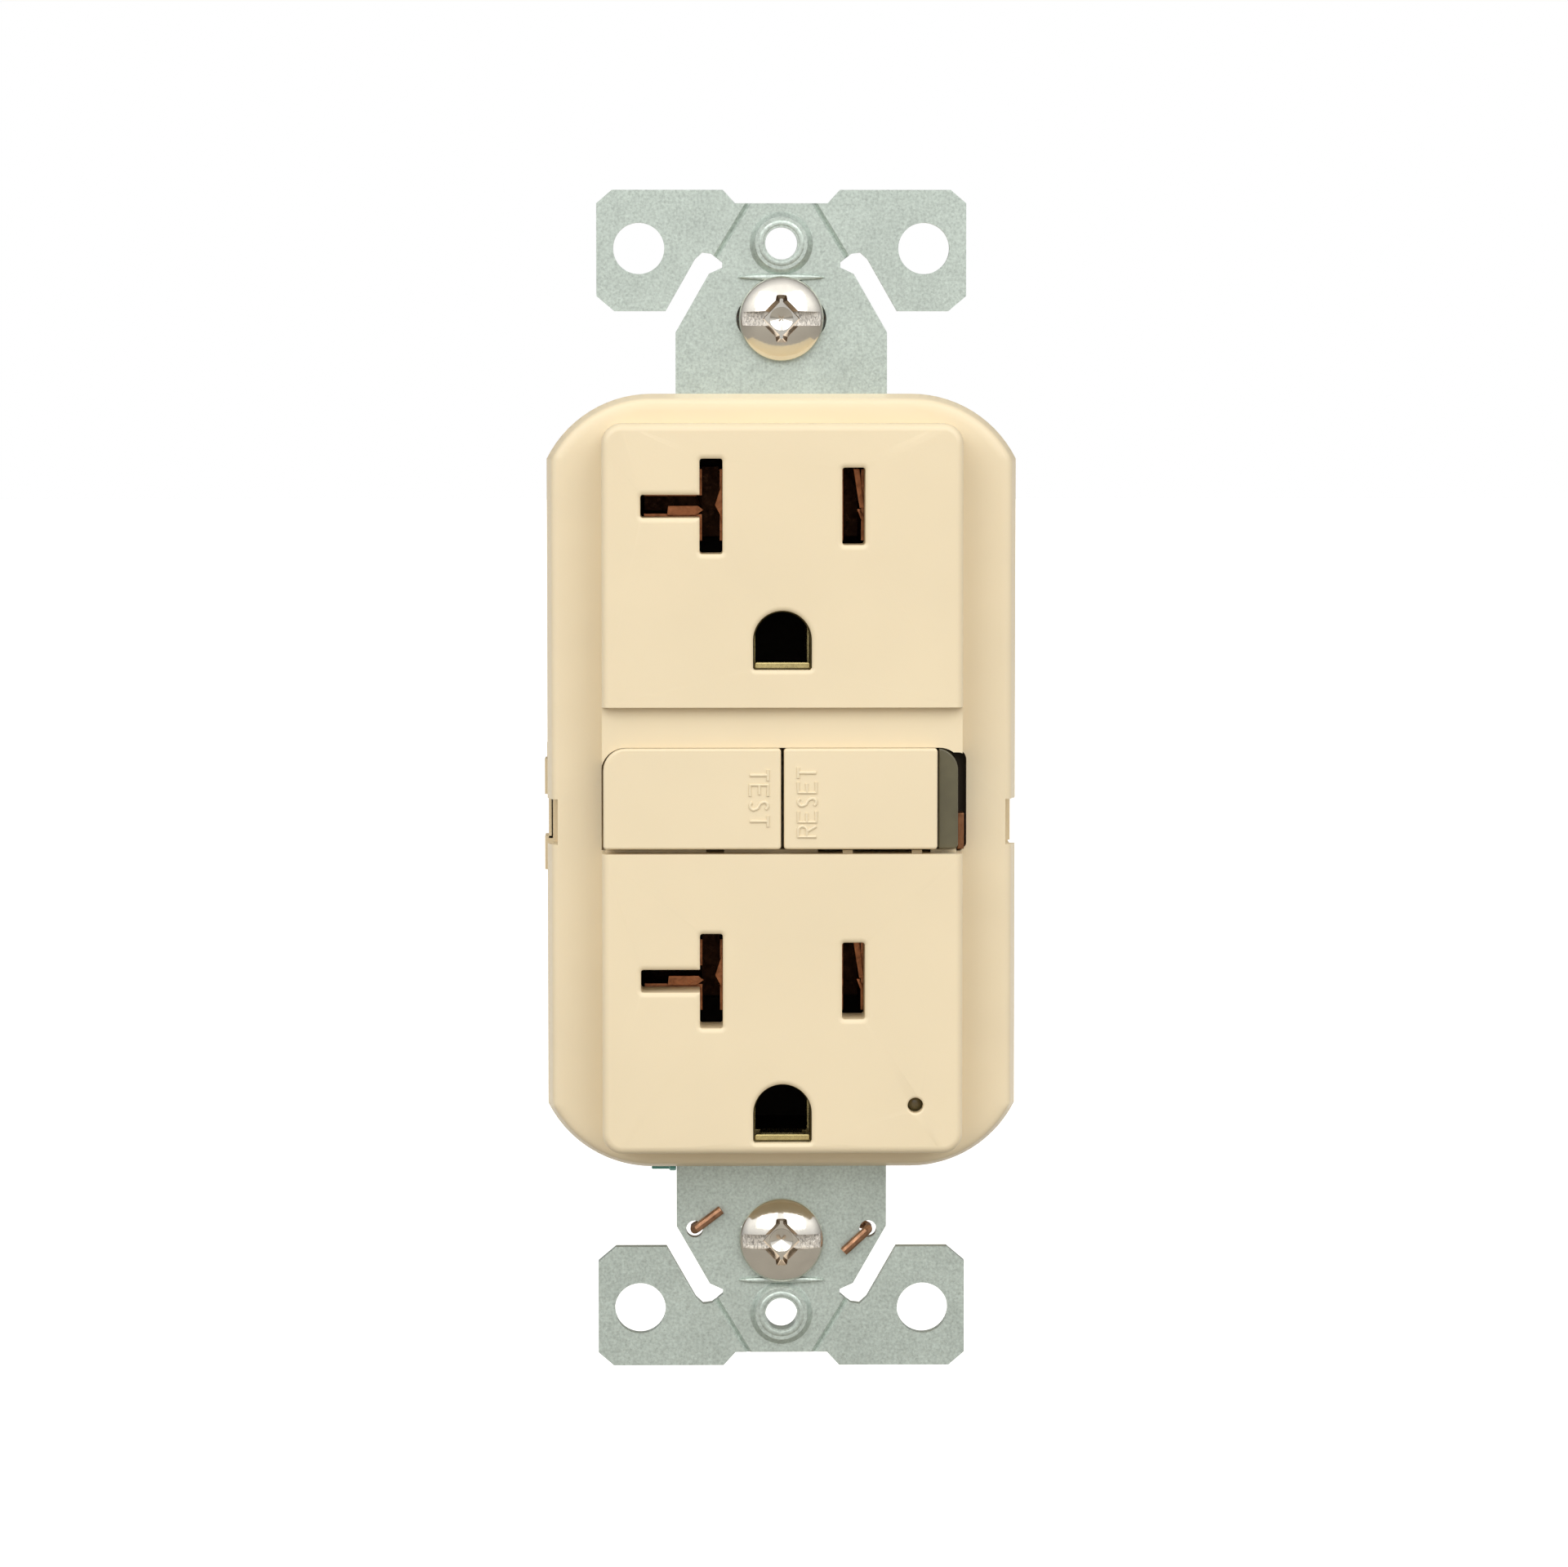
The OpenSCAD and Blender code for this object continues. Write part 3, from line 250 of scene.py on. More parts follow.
def thread(name, r, root, pitch, y0, y1, at, sides=32, rows_per_turn=8):
    """A screw's threaded shank, narrower at its tip: a tube whose radius follows the thread."""
    rows = int((y1 - y0) / pitch * rows_per_turn)
    taper = 0.25
    sections = []
    for i in range(rows + 1):
        y = y0 + (y1 - y0) * i / rows
        ease = min(1.0, (y - y0) / pitch, (y1 - y) / pitch)
        points = []
        for k in range(sides):
            a = 2 * math.pi * k / sides
            phase = (y / pitch + k / sides) % 1.0
            crest = max(0.0, min(1.0, 1.5 - abs(phase - 0.5) * 4))
            radius = root + (r - root) * crest * max(ease, 0) - taper * (1 - min(1.0, (y1 - y) / pitch))
            points.append((at[0] + radius * math.cos(a), at[1] + radius * math.sin(a)))
        sections.append((y, points))
    return loft(name, sections)


def bake(obj):
    """Applies the object's modifiers and takes out slivers of faces."""
    evaluated = obj.evaluated_get(bpy.context.evaluated_depsgraph_get())
    mesh = bpy.data.meshes.new_from_object(evaluated)
    clean = bmesh.new()
    clean.from_mesh(mesh)
    bmesh.ops.dissolve_degenerate(clean, dist=0.0005 * MM, edges=clean.edges)
    clean.to_mesh(mesh)
    clean.free()
    obj.modifiers.clear()
    obj.data = mesh


def combine(obj, tools, operation="DIFFERENCE"):
    """Cuts the tools out of the object, or joins or crosses it with them. The tools are used up."""
    for tool in tools:
        modifier = obj.modifiers.new("combine", "BOOLEAN")
        modifier.operation, modifier.solver, modifier.object = operation, "EXACT", tool
    bake(obj)
    for tool in tools:
        bpy.data.objects.remove(tool)
    return obj


def join(obj, parts):
    """One object out of several."""
    whole = bmesh.new()
    whole.from_mesh(obj.data)
    for part in parts:
        whole.from_mesh(part.data)
        bpy.data.objects.remove(part)
    whole.to_mesh(obj.data)
    whole.free()
    return obj


def from_node(node, flat=0.6):
    """A copy of a CAD node's mesh, with its seams closed and its flat areas in one face each."""
    mesh = NODES[node].data.copy()
    for name in ("custom_normal", "sharp_edge", "sharp_face"):
        if name in mesh.attributes:
            mesh.attributes.remove(mesh.attributes[name])
    shape = bmesh.new()
    shape.from_mesh(mesh)
    bmesh.ops.remove_doubles(shape, verts=shape.verts, dist=0.002 * MM)
    if flat:
        bmesh.ops.dissolve_limit(shape, angle_limit=math.radians(flat), verts=shape.verts, edges=shape.edges)
    bmesh.ops.recalc_face_normals(shape, faces=shape.faces)
    shape.to_mesh(mesh)
    shape.free()
    mesh.materials.clear()
    return add_object(node, mesh)


def body_of(node):
    for body, members in frame["record"]["behaviour"]["bodies"].items():
        if node in members:
            return body
    return "root"


SLOT_OF = {row["node"]: row["material_slot"] for row in frame["record"]["subparts"]}


def stand_for(obj, node, name=None, bevel=0.0, crease=32):
    """Finishes a piece that stands for a CAD node: its edges, shading, material and body."""
    obj.name = name or node + "_skin"
    slot = SLOT_OF[node]
    if not obj.data.materials:
        obj.data.materials.append(MATERIALS[slot])
    if bevel:
        modifier = obj.modifiers.new("edges", "BEVEL")
        modifier.width, modifier.segments = bevel * MM, 2
        modifier.limit_method, modifier.angle_limit = "ANGLE", math.radians(40)
        modifier.use_clamp_overlap = True
        bake(obj)
    obj.data.shade_smooth()
    obj.data.set_sharp_from_angle(angle=math.radians(crease))
    normals = obj.modifiers.new("normals", "WEIGHTED_NORMAL")
    normals.keep_sharp = True
    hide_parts(node)
    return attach(obj, body_of(node))


# ---- Materials ----


PLASTIC_IOR = 1.49


class Shader:
    """A small helper round a material's node tree."""

    def __init__(self, name, colour, roughness, metallic=0.0):
        self.material = bpy.data.materials.new(name)
        self.material.use_nodes = True
        self.tree = self.material.node_tree
        self.surface = self.tree.nodes["Principled BSDF"]
        self.set(**{"Base Color": (*colour, 1), "Roughness": roughness, "Metallic": metallic})
        self.place = self.tree.nodes.new("ShaderNodeTexCoord").outputs["Object"]

    def set(self, **values):
        for name, value in values.items():
            self.surface.inputs[name].default_value = value

    def link(self, a, b):
        self.tree.links.new(a, b)

    def stretched(self, scale):
        """The place, scaled by a different factor along each axis."""
        mapping = self.tree.nodes.new("ShaderNodeMapping")
        mapping.inputs["Scale"].default_value = scale
        self.link(self.place, mapping.inputs["Vector"])
        return mapping.outputs["Vector"]

    def along(self, axis, start, end, mirrored=False):
        """A number that goes from 0 to 1 between two places on an axis, in millimetres."""
        parts = self.tree.nodes.new("ShaderNodeSeparateXYZ")
        self.link(self.place, parts.inputs["Vector"])
        value = parts.outputs[axis]
        if mirrored:
            absolute = self.tree.nodes.new("ShaderNodeMath")
            absolute.operation = "ABSOLUTE"
            self.link(value, absolute.inputs[0])
            value = absolute.outputs[0]
        fit = self.tree.nodes.new("ShaderNodeMapRange")
        fit.inputs["From Min"].default_value = start * MM
        fit.inputs["From Max"].default_value = end * MM
        self.link(value, fit.inputs["Value"])
        return fit.outputs["Result"]

    def mix(self, a, b):
        """A node that mixes two colours, with its factor still to be set."""
        node = self.tree.nodes.new("ShaderNodeMix")
        node.data_type = "RGBA"
        self.link(a, node.inputs[6])
        self.link(b, node.inputs[7])
        return node

    def blend(self, factor, a, b):
        """Colour a where factor is 0 and colour b where it is 1."""
        node = self.mix(a, b)
        self.link(factor, node.inputs[0])
        return node.outputs[2]

    def times(self, a, b):
        """Colour a multiplied by colour b."""
        node = self.mix(a, b)
        node.blend_type = "MULTIPLY"
        node.inputs[0].default_value = 1.0
        return node.outputs[2]

    def noise(self, size, detail, place=None, distortion=0.0, roughness=0.5):
        """Noise with features of about that size, in millimetres."""
        node = self.tree.nodes.new("ShaderNodeTexNoise")
        node.inputs["Scale"].default_value = 1 / (size * MM)
        node.inputs["Detail"].default_value = detail
        node.inputs["Distortion"].default_value = distortion
        node.inputs["Roughness"].default_value = roughness
        self.link(place or self.place, node.inputs["Vector"])
        return node.outputs["Fac"]

    def cells(self, size):
        node = self.tree.nodes.new("ShaderNodeTexVoronoi")
        node.inputs["Scale"].default_value = 1 / (size * MM)
        self.link(self.place, node.inputs["Vector"])
        return node.outputs["Distance"]

    def ramp(self, factor, stops):
        """A colour or grey for a factor, from (position, colour) stops."""
        node = self.tree.nodes.new("ShaderNodeValToRGB")
        elements = node.color_ramp.elements
        while len(elements) < len(stops):
            elements.new(0.5)
        for element, (position, colour) in zip(elements, stops):
            element.position = position
            element.color = (*(colour if isinstance(colour, tuple) else (colour,) * 3), 1)
        self.link(factor, node.inputs["Fac"])
        return node.outputs["Color"]

    def colour(self, output):
        self.link(output, self.surface.inputs["Base Color"])

    def rough(self, output):
        self.link(output, self.surface.inputs["Roughness"])

    def bump(self, height, depth, strength):
        """Bumps of about that depth, in millimetres; several calls add up."""
        node = self.tree.nodes.new("ShaderNodeBump")
        node.inputs["Distance"].default_value = depth * MM
        node.inputs["Strength"].default_value = strength
        self.link(height, node.inputs["Height"])
        if self.surface.inputs["Normal"].is_linked:
            self.link(self.surface.inputs["Normal"].links[0].from_socket, node.inputs["Normal"])
        self.link(node.outputs["Normal"], self.surface.inputs["Normal"])


def tone(colour, k):
    """A colour made darker or lighter."""
    return tuple(c * k for c in colour)


def plastic(name, colour, roughness, shine, depth, glow, flange=None):
    """Moulded plastic: cloudy tint, a fine spark-eroded grain of some depth, in millimetres, and a little light
    under the skin. The flange, behind the raised face, may have a tint of its own: painted light, a slightly
    lighter copy of the face's colour."""
    s = Shader(name, colour, roughness)
    tint = s.ramp(s.noise(14, 2), [(0.3, tone(colour, 0.975)), (0.7, tone(colour, 1.015))])
    # Painted light: the flange gets its own ivory, a slightly lighter copy of the face's, blended in by depth
    # behind the face.
    if flange:
        flange_painted_light = s.ramp(s.noise(9, 2), [(0.3, tone(flange, 0.97)), (0.7, tone(flange, 1.01))])
        tint = s.blend(s.along("Y", -4.6, -3.6), tint, flange_painted_light)
    s.colour(tint)
    grain = s.noise(0.28, 4)
    s.rough(s.ramp(grain, [(0.3, roughness - 0.05), (0.7, roughness + 0.06)]))
    s.bump(grain, depth, 0.35)
    s.bump(s.noise(5, 2), 0.05, 0.15)
    s.set(**{"IOR": PLASTIC_IOR, "Specular IOR Level": shine, "Subsurface Weight": glow,
             "Subsurface Scale": 0.7 * MM, "Subsurface Radius": (1.0, 0.72, 0.42)})
    return s.material


def zinc(name, colour, roughness=0.46):
    """Dull zinc plating: fine crystals of slightly different tone, clouds, rolling marks and a few pits."""
    s = Shader(name, colour, roughness, 0.8)
    mottled = s.ramp(s.noise(0.25, 5, roughness=0.65),
                     [(0.32, tone(colour, 0.8)), (0.5, colour), (0.68, tone(colour, 1.16))])
    clouds = s.ramp(s.noise(4, 4), [(0.3, 0.9), (0.7, 1.0)])
    pits = s.ramp(s.noise(0.7, 2), [(0.2, 0.72), (0.27, 1.0)])
    s.colour(s.times(s.times(mottled, clouds), pits))
    s.rough(s.ramp(s.noise(0.3, 4), [(0.3, roughness - 0.08), (0.7, roughness + 0.12)]))
    s.bump(s.noise(0.2, 4, roughness=0.6), 0.012, 0.5)
    s.bump(s.noise(0.5, 3, s.stretched((1, 1, 0.06))), 0.008, 0.4)
    return s.material


def bright_metal(name, colour, roughness, brushed=(1, 1, 1), tint=0.9):
    """Plated or plain bright metal with fine drawn lines and faint stains."""
    s = Shader(name, colour, roughness, 1.0)
    s.colour(s.ramp(s.noise(1.8, 4, distortion=0.4), [(0.3, tone(colour, tint)), (0.7, colour)]))
    lines = s.noise(0.16, 4, s.stretched(brushed))
    s.rough(s.ramp(lines, [(0.3, max(roughness - 0.05, 0.03)), (0.7, roughness + 0.09)]))
    s.bump(lines, 0.006, 0.35)
    return s.material


def rough_metal(name, colour):
    """The coarse floor of a screw's slot."""
    s = Shader(name, colour, 0.4, 1.0)
    chatter = s.noise(0.14, 5, s.stretched((1.0, 0.4, 0.45)), 0.6, 0.65)
    s.colour(s.ramp(chatter, [(0.36, tone(colour, 0.42)), (0.52, colour), (0.66, tone(colour, 1.15))]))
    s.rough(s.ramp(chatter, [(0.3, 0.52), (0.7, 0.28)]))
    s.bump(chatter, 0.12, 0.9)
    return s.material


def copper(name, colour, roughness):
    """Bare copper with brown stains."""
    s = Shader(name, colour, roughness, 1.0)
    s.colour(s.ramp(s.noise(1.1, 4, distortion=0.8),
                    [(0.3, tone(colour, 0.62)), (0.52, colour), (0.72, tone(colour, 1.2))]))
    s.rough(s.ramp(s.noise(0.5, 3), [(0.3, roughness - 0.08), (0.7, roughness + 0.15)]))
    s.bump(s.noise(0.2, 3, s.stretched((0.1, 1, 1))), 0.01, 0.4)
    return s.material


def contact_metal(name, bright, dark, brass):
    """A bus bar: bright copper at the mouths of its leaves, painted shade further in (a near-black copy of the
    copper, deeper in the slot), and brass at the terminals."""
    s = Shader(name, bright, 0.3, 1.0)
    stains = s.noise(0.9, 4, distortion=0.8)
    copper_tint = s.ramp(stains, [(0.3, tone(bright, 0.55)), (0.52, bright), (0.72, tone(bright, 1.25))])
    painted_shade_tint = s.ramp(stains, [(0.3, tone(dark, 0.5)), (0.7, tone(dark, 1.3))])
    # Painted shade: inward of the leaves' mouths the copper turns near black, for the shade inside the slots.
    inner = s.blend(s.along("Y", -2.2, -1.2), copper_tint, painted_shade_tint)
    outer = s.ramp(stains, [(0.3, tone(brass, 0.75)), (0.7, brass)])
    s.colour(s.blend(s.along("X", 14, 15, mirrored=True), inner, outer))
    s.rough(s.ramp(s.noise(0.5, 3), [(0.3, 0.24), (0.7, 0.42)]))
    s.bump(s.noise(0.2, 3, s.stretched((1, 0.1, 1))), 0.01, 0.4)
    return s.material


def wound(name, colour, direction, turn):
    """Enamelled copper wire, wound in turns of that size, in millimetres."""
    s = Shader(name, colour, 0.32, 0.9)
    bands = s.tree.nodes.new("ShaderNodeTexWave")
    bands.bands_direction = direction
    bands.inputs["Scale"].default_value = math.pi / (10 * turn * MM)
    bands.inputs["Distortion"].default_value = 0.6
    s.link(s.place, bands.inputs["Vector"])
    height = bands.outputs["Fac"]
    s.colour(s.ramp(height, [(0.1, tone(colour, 0.35)), (0.5, colour), (0.9, tone(colour, 1.2))]))
    s.bump(height, 0.08, 0.8)
    s.set(**{"Coat Weight": 0.5, "Coat Roughness": 0.15})
    return s.material


def smoked(name, colour):
    """The translucent lens: a matt grey skin over a darker inside."""
    s = Shader(name, colour, 0.34)
    s.colour(s.ramp(s.noise(2.5, 3), [(0.3, tone(colour, 0.85)), (0.7, tone(colour, 1.1))]))
    s.rough(s.ramp(s.noise(0.3, 3), [(0.3, 0.3), (0.7, 0.42)]))
    s.bump(s.noise(0.4, 3), 0.01, 0.3)
    s.set(**{"Transmission Weight": 0.12, "IOR": PLASTIC_IOR, "Coat Weight": 0.25, "Coat Roughness": 0.3})
    return s.material


def epoxy(name, colour, roughness=0.22):
    """A dipped part: glossy, with a slightly uneven skin."""
    s = Shader(name, colour, roughness)
    s.colour(s.ramp(s.noise(1.5, 3), [(0.3, tone(colour, 0.8)), (0.7, tone(colour, 1.15))]))
    s.bump(s.noise(1.2, 3), 0.06, 0.5)
    s.set(**{"Coat Weight": 0.6, "Coat Roughness": 0.08})
    return s.material


def solder_mask(name, colour):
    """A circuit board: woven glass under green lacquer."""
    s = Shader(name, colour, 0.3)
    weave = s.cells(0.45)
    s.colour(s.ramp(weave, [(0.1, tone(colour, 1.25)), (0.7, tone(colour, 0.75))]))
    s.bump(weave, 0.02, 0.4)
    s.set(**{"Coat Weight": 0.4, "Coat Roughness": 0.15})
    return s.material


def ferrite(name, colour):
    """Sintered core material, dull and grainy."""
    s = Shader(name, colour, 0.6, 0.2)
    s.colour(s.ramp(s.noise(0.4, 5), [(0.3, tone(colour, 0.6)), (0.7, tone(colour, 1.4))]))
    s.bump(s.noise(0.3, 4), 0.03, 0.6)
    return s.material


IVORY = (0.777, 0.655, 0.445)
# The flange's ivory is painted light: a slightly lighter copy of the face's ivory.
IVORY_FLANGE_PAINTED_LIGHT = (0.787, 0.666, 0.457)
WIRE = (0.62, 0.27, 0.12)

# plastic(): colour, roughness, shine, depth of the grain, light under the skin and a painted-light tint for the
# flange.
# The metals: colour, roughness, stretch of the drawn lines along X, Y and Z, and how dark the stains are.
MATERIALS = {
    "ivory_face": plastic("ivory_face", IVORY, 0.4, 0.45, 0.012, 0.06, IVORY_FLANGE_PAINTED_LIGHT),
    "ivory_housing": plastic("ivory_housing", (0.72, 0.60, 0.40), 0.5, 0.4, 0.02, 0.06),
    "black_plastic": plastic("black_plastic", (0.034, 0.024, 0.013), 0.55, 0.2, 0.02, 0.0),
    "zinc_steel": zinc("zinc_steel", (0.55, 0.618, 0.563)),
    "spring_steel": bright_metal("spring_steel", (0.62, 0.62, 0.62), 0.25, (1, 0.1, 1)),
    "nickel_screw": bright_metal("nickel_screw", (0.80, 0.76, 0.68), 0.1),
    "brass": bright_metal("brass", (0.80, 0.66, 0.30), 0.26, (1, 0.08, 1), 0.75),
    "copper": copper("copper", (0.42, 0.225, 0.13), 0.42),
    "green_screw": bright_metal("green_screw", (0.05, 0.30, 0.24), 0.28, (0.2, 1, 1), 0.7),
    "white_nylon": plastic("white_nylon", (0.76, 0.75, 0.69), 0.45, 0.4, 0.015, 0.2),
    "smoked_lens": smoked("smoked_lens", (0.118, 0.103, 0.054)),
    "lamp_epoxy": epoxy("lamp_epoxy", (0.22, 0.60, 0.26), 0.2),
    "dark_lamp": epoxy("dark_lamp", (0.17, 0.14, 0.06), 0.12),
    "ferrite": ferrite("ferrite", (0.07, 0.07, 0.075)),
    "green_board": solder_mask("green_board", (0.02, 0.13, 0.05)),
    "blue_epoxy": epoxy("blue_epoxy", (0.03, 0.11, 0.33)),
    "beige_epoxy": epoxy("beige_epoxy", (0.62, 0.48, 0.30)),
}
SLOT_FLOOR = rough_metal("slot_floor", (0.70, 0.66, 0.60))
# Painted shade for the walls of the screws' diamond recesses: a darker, browner copy of the nickel.
RECESS_PAINTED_SHADE = bright_metal("recess_wall_painted_shade", (0.40, 0.32, 0.24), 0.3)
# The bus bars' near-black colour is painted shade for their parts deep inside the slots.
BUS_METAL = contact_metal("bus_metal", (0.42, 0.165, 0.075), (0.05, 0.022, 0.012), (0.80, 0.62, 0.28))
DARK_COPPER = copper("dark_copper", (0.30, 0.135, 0.065), 0.34)
# A near-black copy of the brass: painted shade for the inside of the ground holes.
BRASS_PAINTED_SHADE = bright_metal("brass_painted_shade", (0.11, 0.085, 0.035), 0.38, (1, 0.08, 1), 0.6)
CORE_WIRE = wound("core_wire", WIRE, "DIAGONAL", 0.7)
COIL_WIRE = wound("coil_wire", WIRE, "Z", 0.35)

for node, obj in NODES.items():
    material = MATERIALS[SLOT_OF[node]]
    if node.endswith("_winding"):
        material = CORE_WIRE
    elif node == "solenoid_coil":
        material = COIL_WIRE
    elif node.endswith("_bus"):
        material = BUS_METAL
    obj.data.materials.clear()
    obj.data.materials.append(material)

# ---- Cover ----

cover = from_node("cover", 0)
w, h = FACE_HALF
face = plate("face", rounded(-w, w, SHIFT_Z - h, SHIFT_Z + h, 1.82, 10), FACE_Y, -2.0, 0.7)
flange = loft("flange", [(y, body_outline(inset)) for y, inset in (
    (FLANGE_Y - 0.001, 1.5), (FLANGE_Y + 0.05, 0.95), (FLANGE_Y + 0.17, 0.65), (FLANGE_Y + 0.36, 0.46),
    (FLANGE_Y + 0.6, 0.38), (STRAP_Y - 0.01, -0.02), (STRAP_Y + 20, -0.02))])
combine(cover, [combine(face, [flange], "UNION")], "INTERSECT")
cutters = [mouth(lambda d: circle(0.7 + d, (0, 0), 32), SIGNAL_LAMP, FACE_Y, 0.22, 0.25)]
for z in OUTLETS_Z:
    cutters.append(mouth(neutral_slot, (0, z), FACE_Y, 0.5, 0.35))
    cutters.append(mouth(hot_slot, (0, z), FACE_Y, 0.5, 0.35))
    cutters.append(mouth(ground_hole, (0, z - GROUND_DROP), FACE_Y, 0.45, 0.35))
beside_lens = rounded(15.2, 16.62, BUTTON_Z[0] - 0.3, BUTTON_Z[1] - 0.4, (0.1, 0.5, 0.9, 0.1), 6)
cutters.append(plate("cutter", beside_lens, -9, -1.6))
combine(cover, cutters)
# Ribs that show in the gap under the buttons: their limits across, and how far behind the band they start
RIBS = (((-15.8, -6.8), 1.3), ((-5.2, 3.2), 1.3), ((5.4, 6.3), 0.3), ((11.6, 12.5), 0.3), ((13.3, 15.6), 1.3))
join(cover, [box(x, (BAND_Y + d, -4.2), (BUTTON_Z[0] - 0.6, BUTTON_Z[0] - 0.13)) for x, d in RIBS])
stand_for(cover, "cover")

# ---- Buttons and lens ----

LEGEND_HEIGHT = 1.6


def raised(name, strokes, matrix, r=0.15):
    """Round strokes of radius r: each is a list of points in a flat frame, X along the word and Y up."""
    curve = bpy.data.curves.new(name, "CURVE")
    curve.dimensions = "3D"
    curve.bevel_depth, curve.bevel_resolution, curve.use_fill_caps = r * MM, 2, True
    for stroke in strokes:
        spline = curve.splines.new("POLY")
        spline.points.add(len(stroke) - 1)
        for point, (x, y) in zip(spline.points, stroke):
            point.co = (x * MM, y * MM, 0, 1)
    obj = add_object(name, curve)
    mesh = bpy.data.meshes.new_from_object(obj.evaluated_get(bpy.context.evaluated_depsgraph_get()))
    bpy.data.objects.remove(obj)
    mesh.materials.clear()
    mesh.transform(matrix)
    return add_object(name, mesh)


def letter(key, w, h):
    """Strokes of one letter in a box of that width and height."""
    r = 0.36 * w
    if key == "T":
        return [[(0, h), (w, h)], [(w / 2, h), (w / 2, 0)]]
    if key == "E":
        return [[(w, h), (0, h), (0, 0), (w, 0)], [(0, h * 0.52), (w * 0.85, h * 0.52)]]
    if key == "R":
        bowl = arc(w - h * 0.24, h * 0.76, h * 0.24, 90, -90, 8)
        return [[(0, 0), (0, h), *bowl, (0, h * 0.52)], [(w * 0.5, h * 0.52), (w, 0)]]
    upper = arc(w / 2, h - r, r, 30, 180, 10)
    lower = arc(w / 2, r, r, 0, -150, 10)
    return [[*upper, (w / 2 - r * 0.6, h * 0.57), (w / 2 + r * 0.6, h * 0.43), *lower]]


def word(text, length):
    """Strokes of a word of that length."""
    gap = 0.28
    pitch = length / (len(text) - gap)
    strokes = []
    for i, key in enumerate(text):
        strokes += [moved(stroke, i * pitch, 0) for stroke in letter(key, pitch * (1 - gap), LEGEND_HEIGHT)]
    return strokes


def facing(x, z, turn, y):
    """Puts a flat word on the face at (x, z), turned anticlockwise as seen from the front."""
    return (Matrix.Translation((x * MM, y * MM, z * MM)) @ Matrix.Rotation(math.radians(-turn), 4, "Y")
            @ Matrix.Rotation(math.radians(90), 4, "X"))


def button(node, left, right, radii, strokes, matrix):
    """A button from its CAD node, with round edges and a raised legend."""
    outline = rounded(left, right, BUTTON_Z[0] + 0.02, BUTTON_Z[1] - 0.01, radii, 8)
    piece = combine(from_node(node, 0), [plate("shape", outline, BUTTON_Y, 10, 0.22)], "INTERSECT")
    stand_for(join(piece, [raised("legend", strokes, matrix)]), node)


button("test_button", -15.98, -0.13, (0.3, 0.3, 0.3, 1.98), word("TEST", 5.1), facing(-2.9, 1.55, -90, BUTTON_Y))
button("reset_button", 0.13, 13.84, 0.3, word("RESET", 6.2), facing(3.0, -4.45, 90, BUTTON_Y))

lens_outline = (arc(14.1, BUTTON_Z[0] + 0.15, 0.15, 180, 270, 3)
                + arc(15.3, BUTTON_Z[0] + 0.4, 0.4, 270, 360, 5)
                + arc(13.7, BUTTON_Z[1] - 2, 2, 0, 82, 14))
lens = plate("lens", lens_outline, BAND_Y, -1.5, 0.14)
stand_for(lens, "indicator_lens")

# ---- Strap ----

# The pressed-up rim of a plate screw hole, as (radius, y)
BOSS = [(2.75, -1.25), (2.74, -1.33), (2.6, -1.42), (2.4, -1.52), (2.22, -1.72), (2.05, -1.9), (1.85, -1.97),
        (1.65, -1.94), (1.52, -1.82), (1.46, -1.6), (1.45, -1.2)]
# The thin bead just beyond the box screw's head: half an ellipse and its mirror image, blunt at the ends
BEAD_REACH = 3.95
upper = [(BEAD_REACH * k, 0.38 * math.sqrt(1 - k ** 2) + 0.015) for k in [i / 12 - 1 for i in range(25)]]
bead = scaled(upper, 1, -1) + upper[::-1]

details = []
for sign in (1, -1):
    details.append(ring("boss", BOSS, (0, sign * PLATE_HOLE_Z)))
    details.append(loft("bead", [(STRAP_Y + y, moved(scaled(bead, kx, kz), 0, sign * BEAD_Z))
                                 for y, kx, kz in ((-0.34, 0.9, 0.15), (-0.27, 0.96, 0.6), (0.2, 1, 1))]))
# The ends of the lower screw's slot, filled in beside the head
slot_end = rounded(-0.45, 0.45, -2.4, 2.4, 0.1, 2)
details += [plate("side", moved(slot_end, x, -BOX_SCREW_Z), STRAP_Y + 0.02, -0.1) for x in (4.1, -4.1)]
stand_for(join(from_node("strap"), details), "strap", bevel=0.1)

# ---- Box screws ----

SLOT_DEPTH = 1.3
RECESS_DEPTH = 1.55
THREAD_PITCH = 0.794


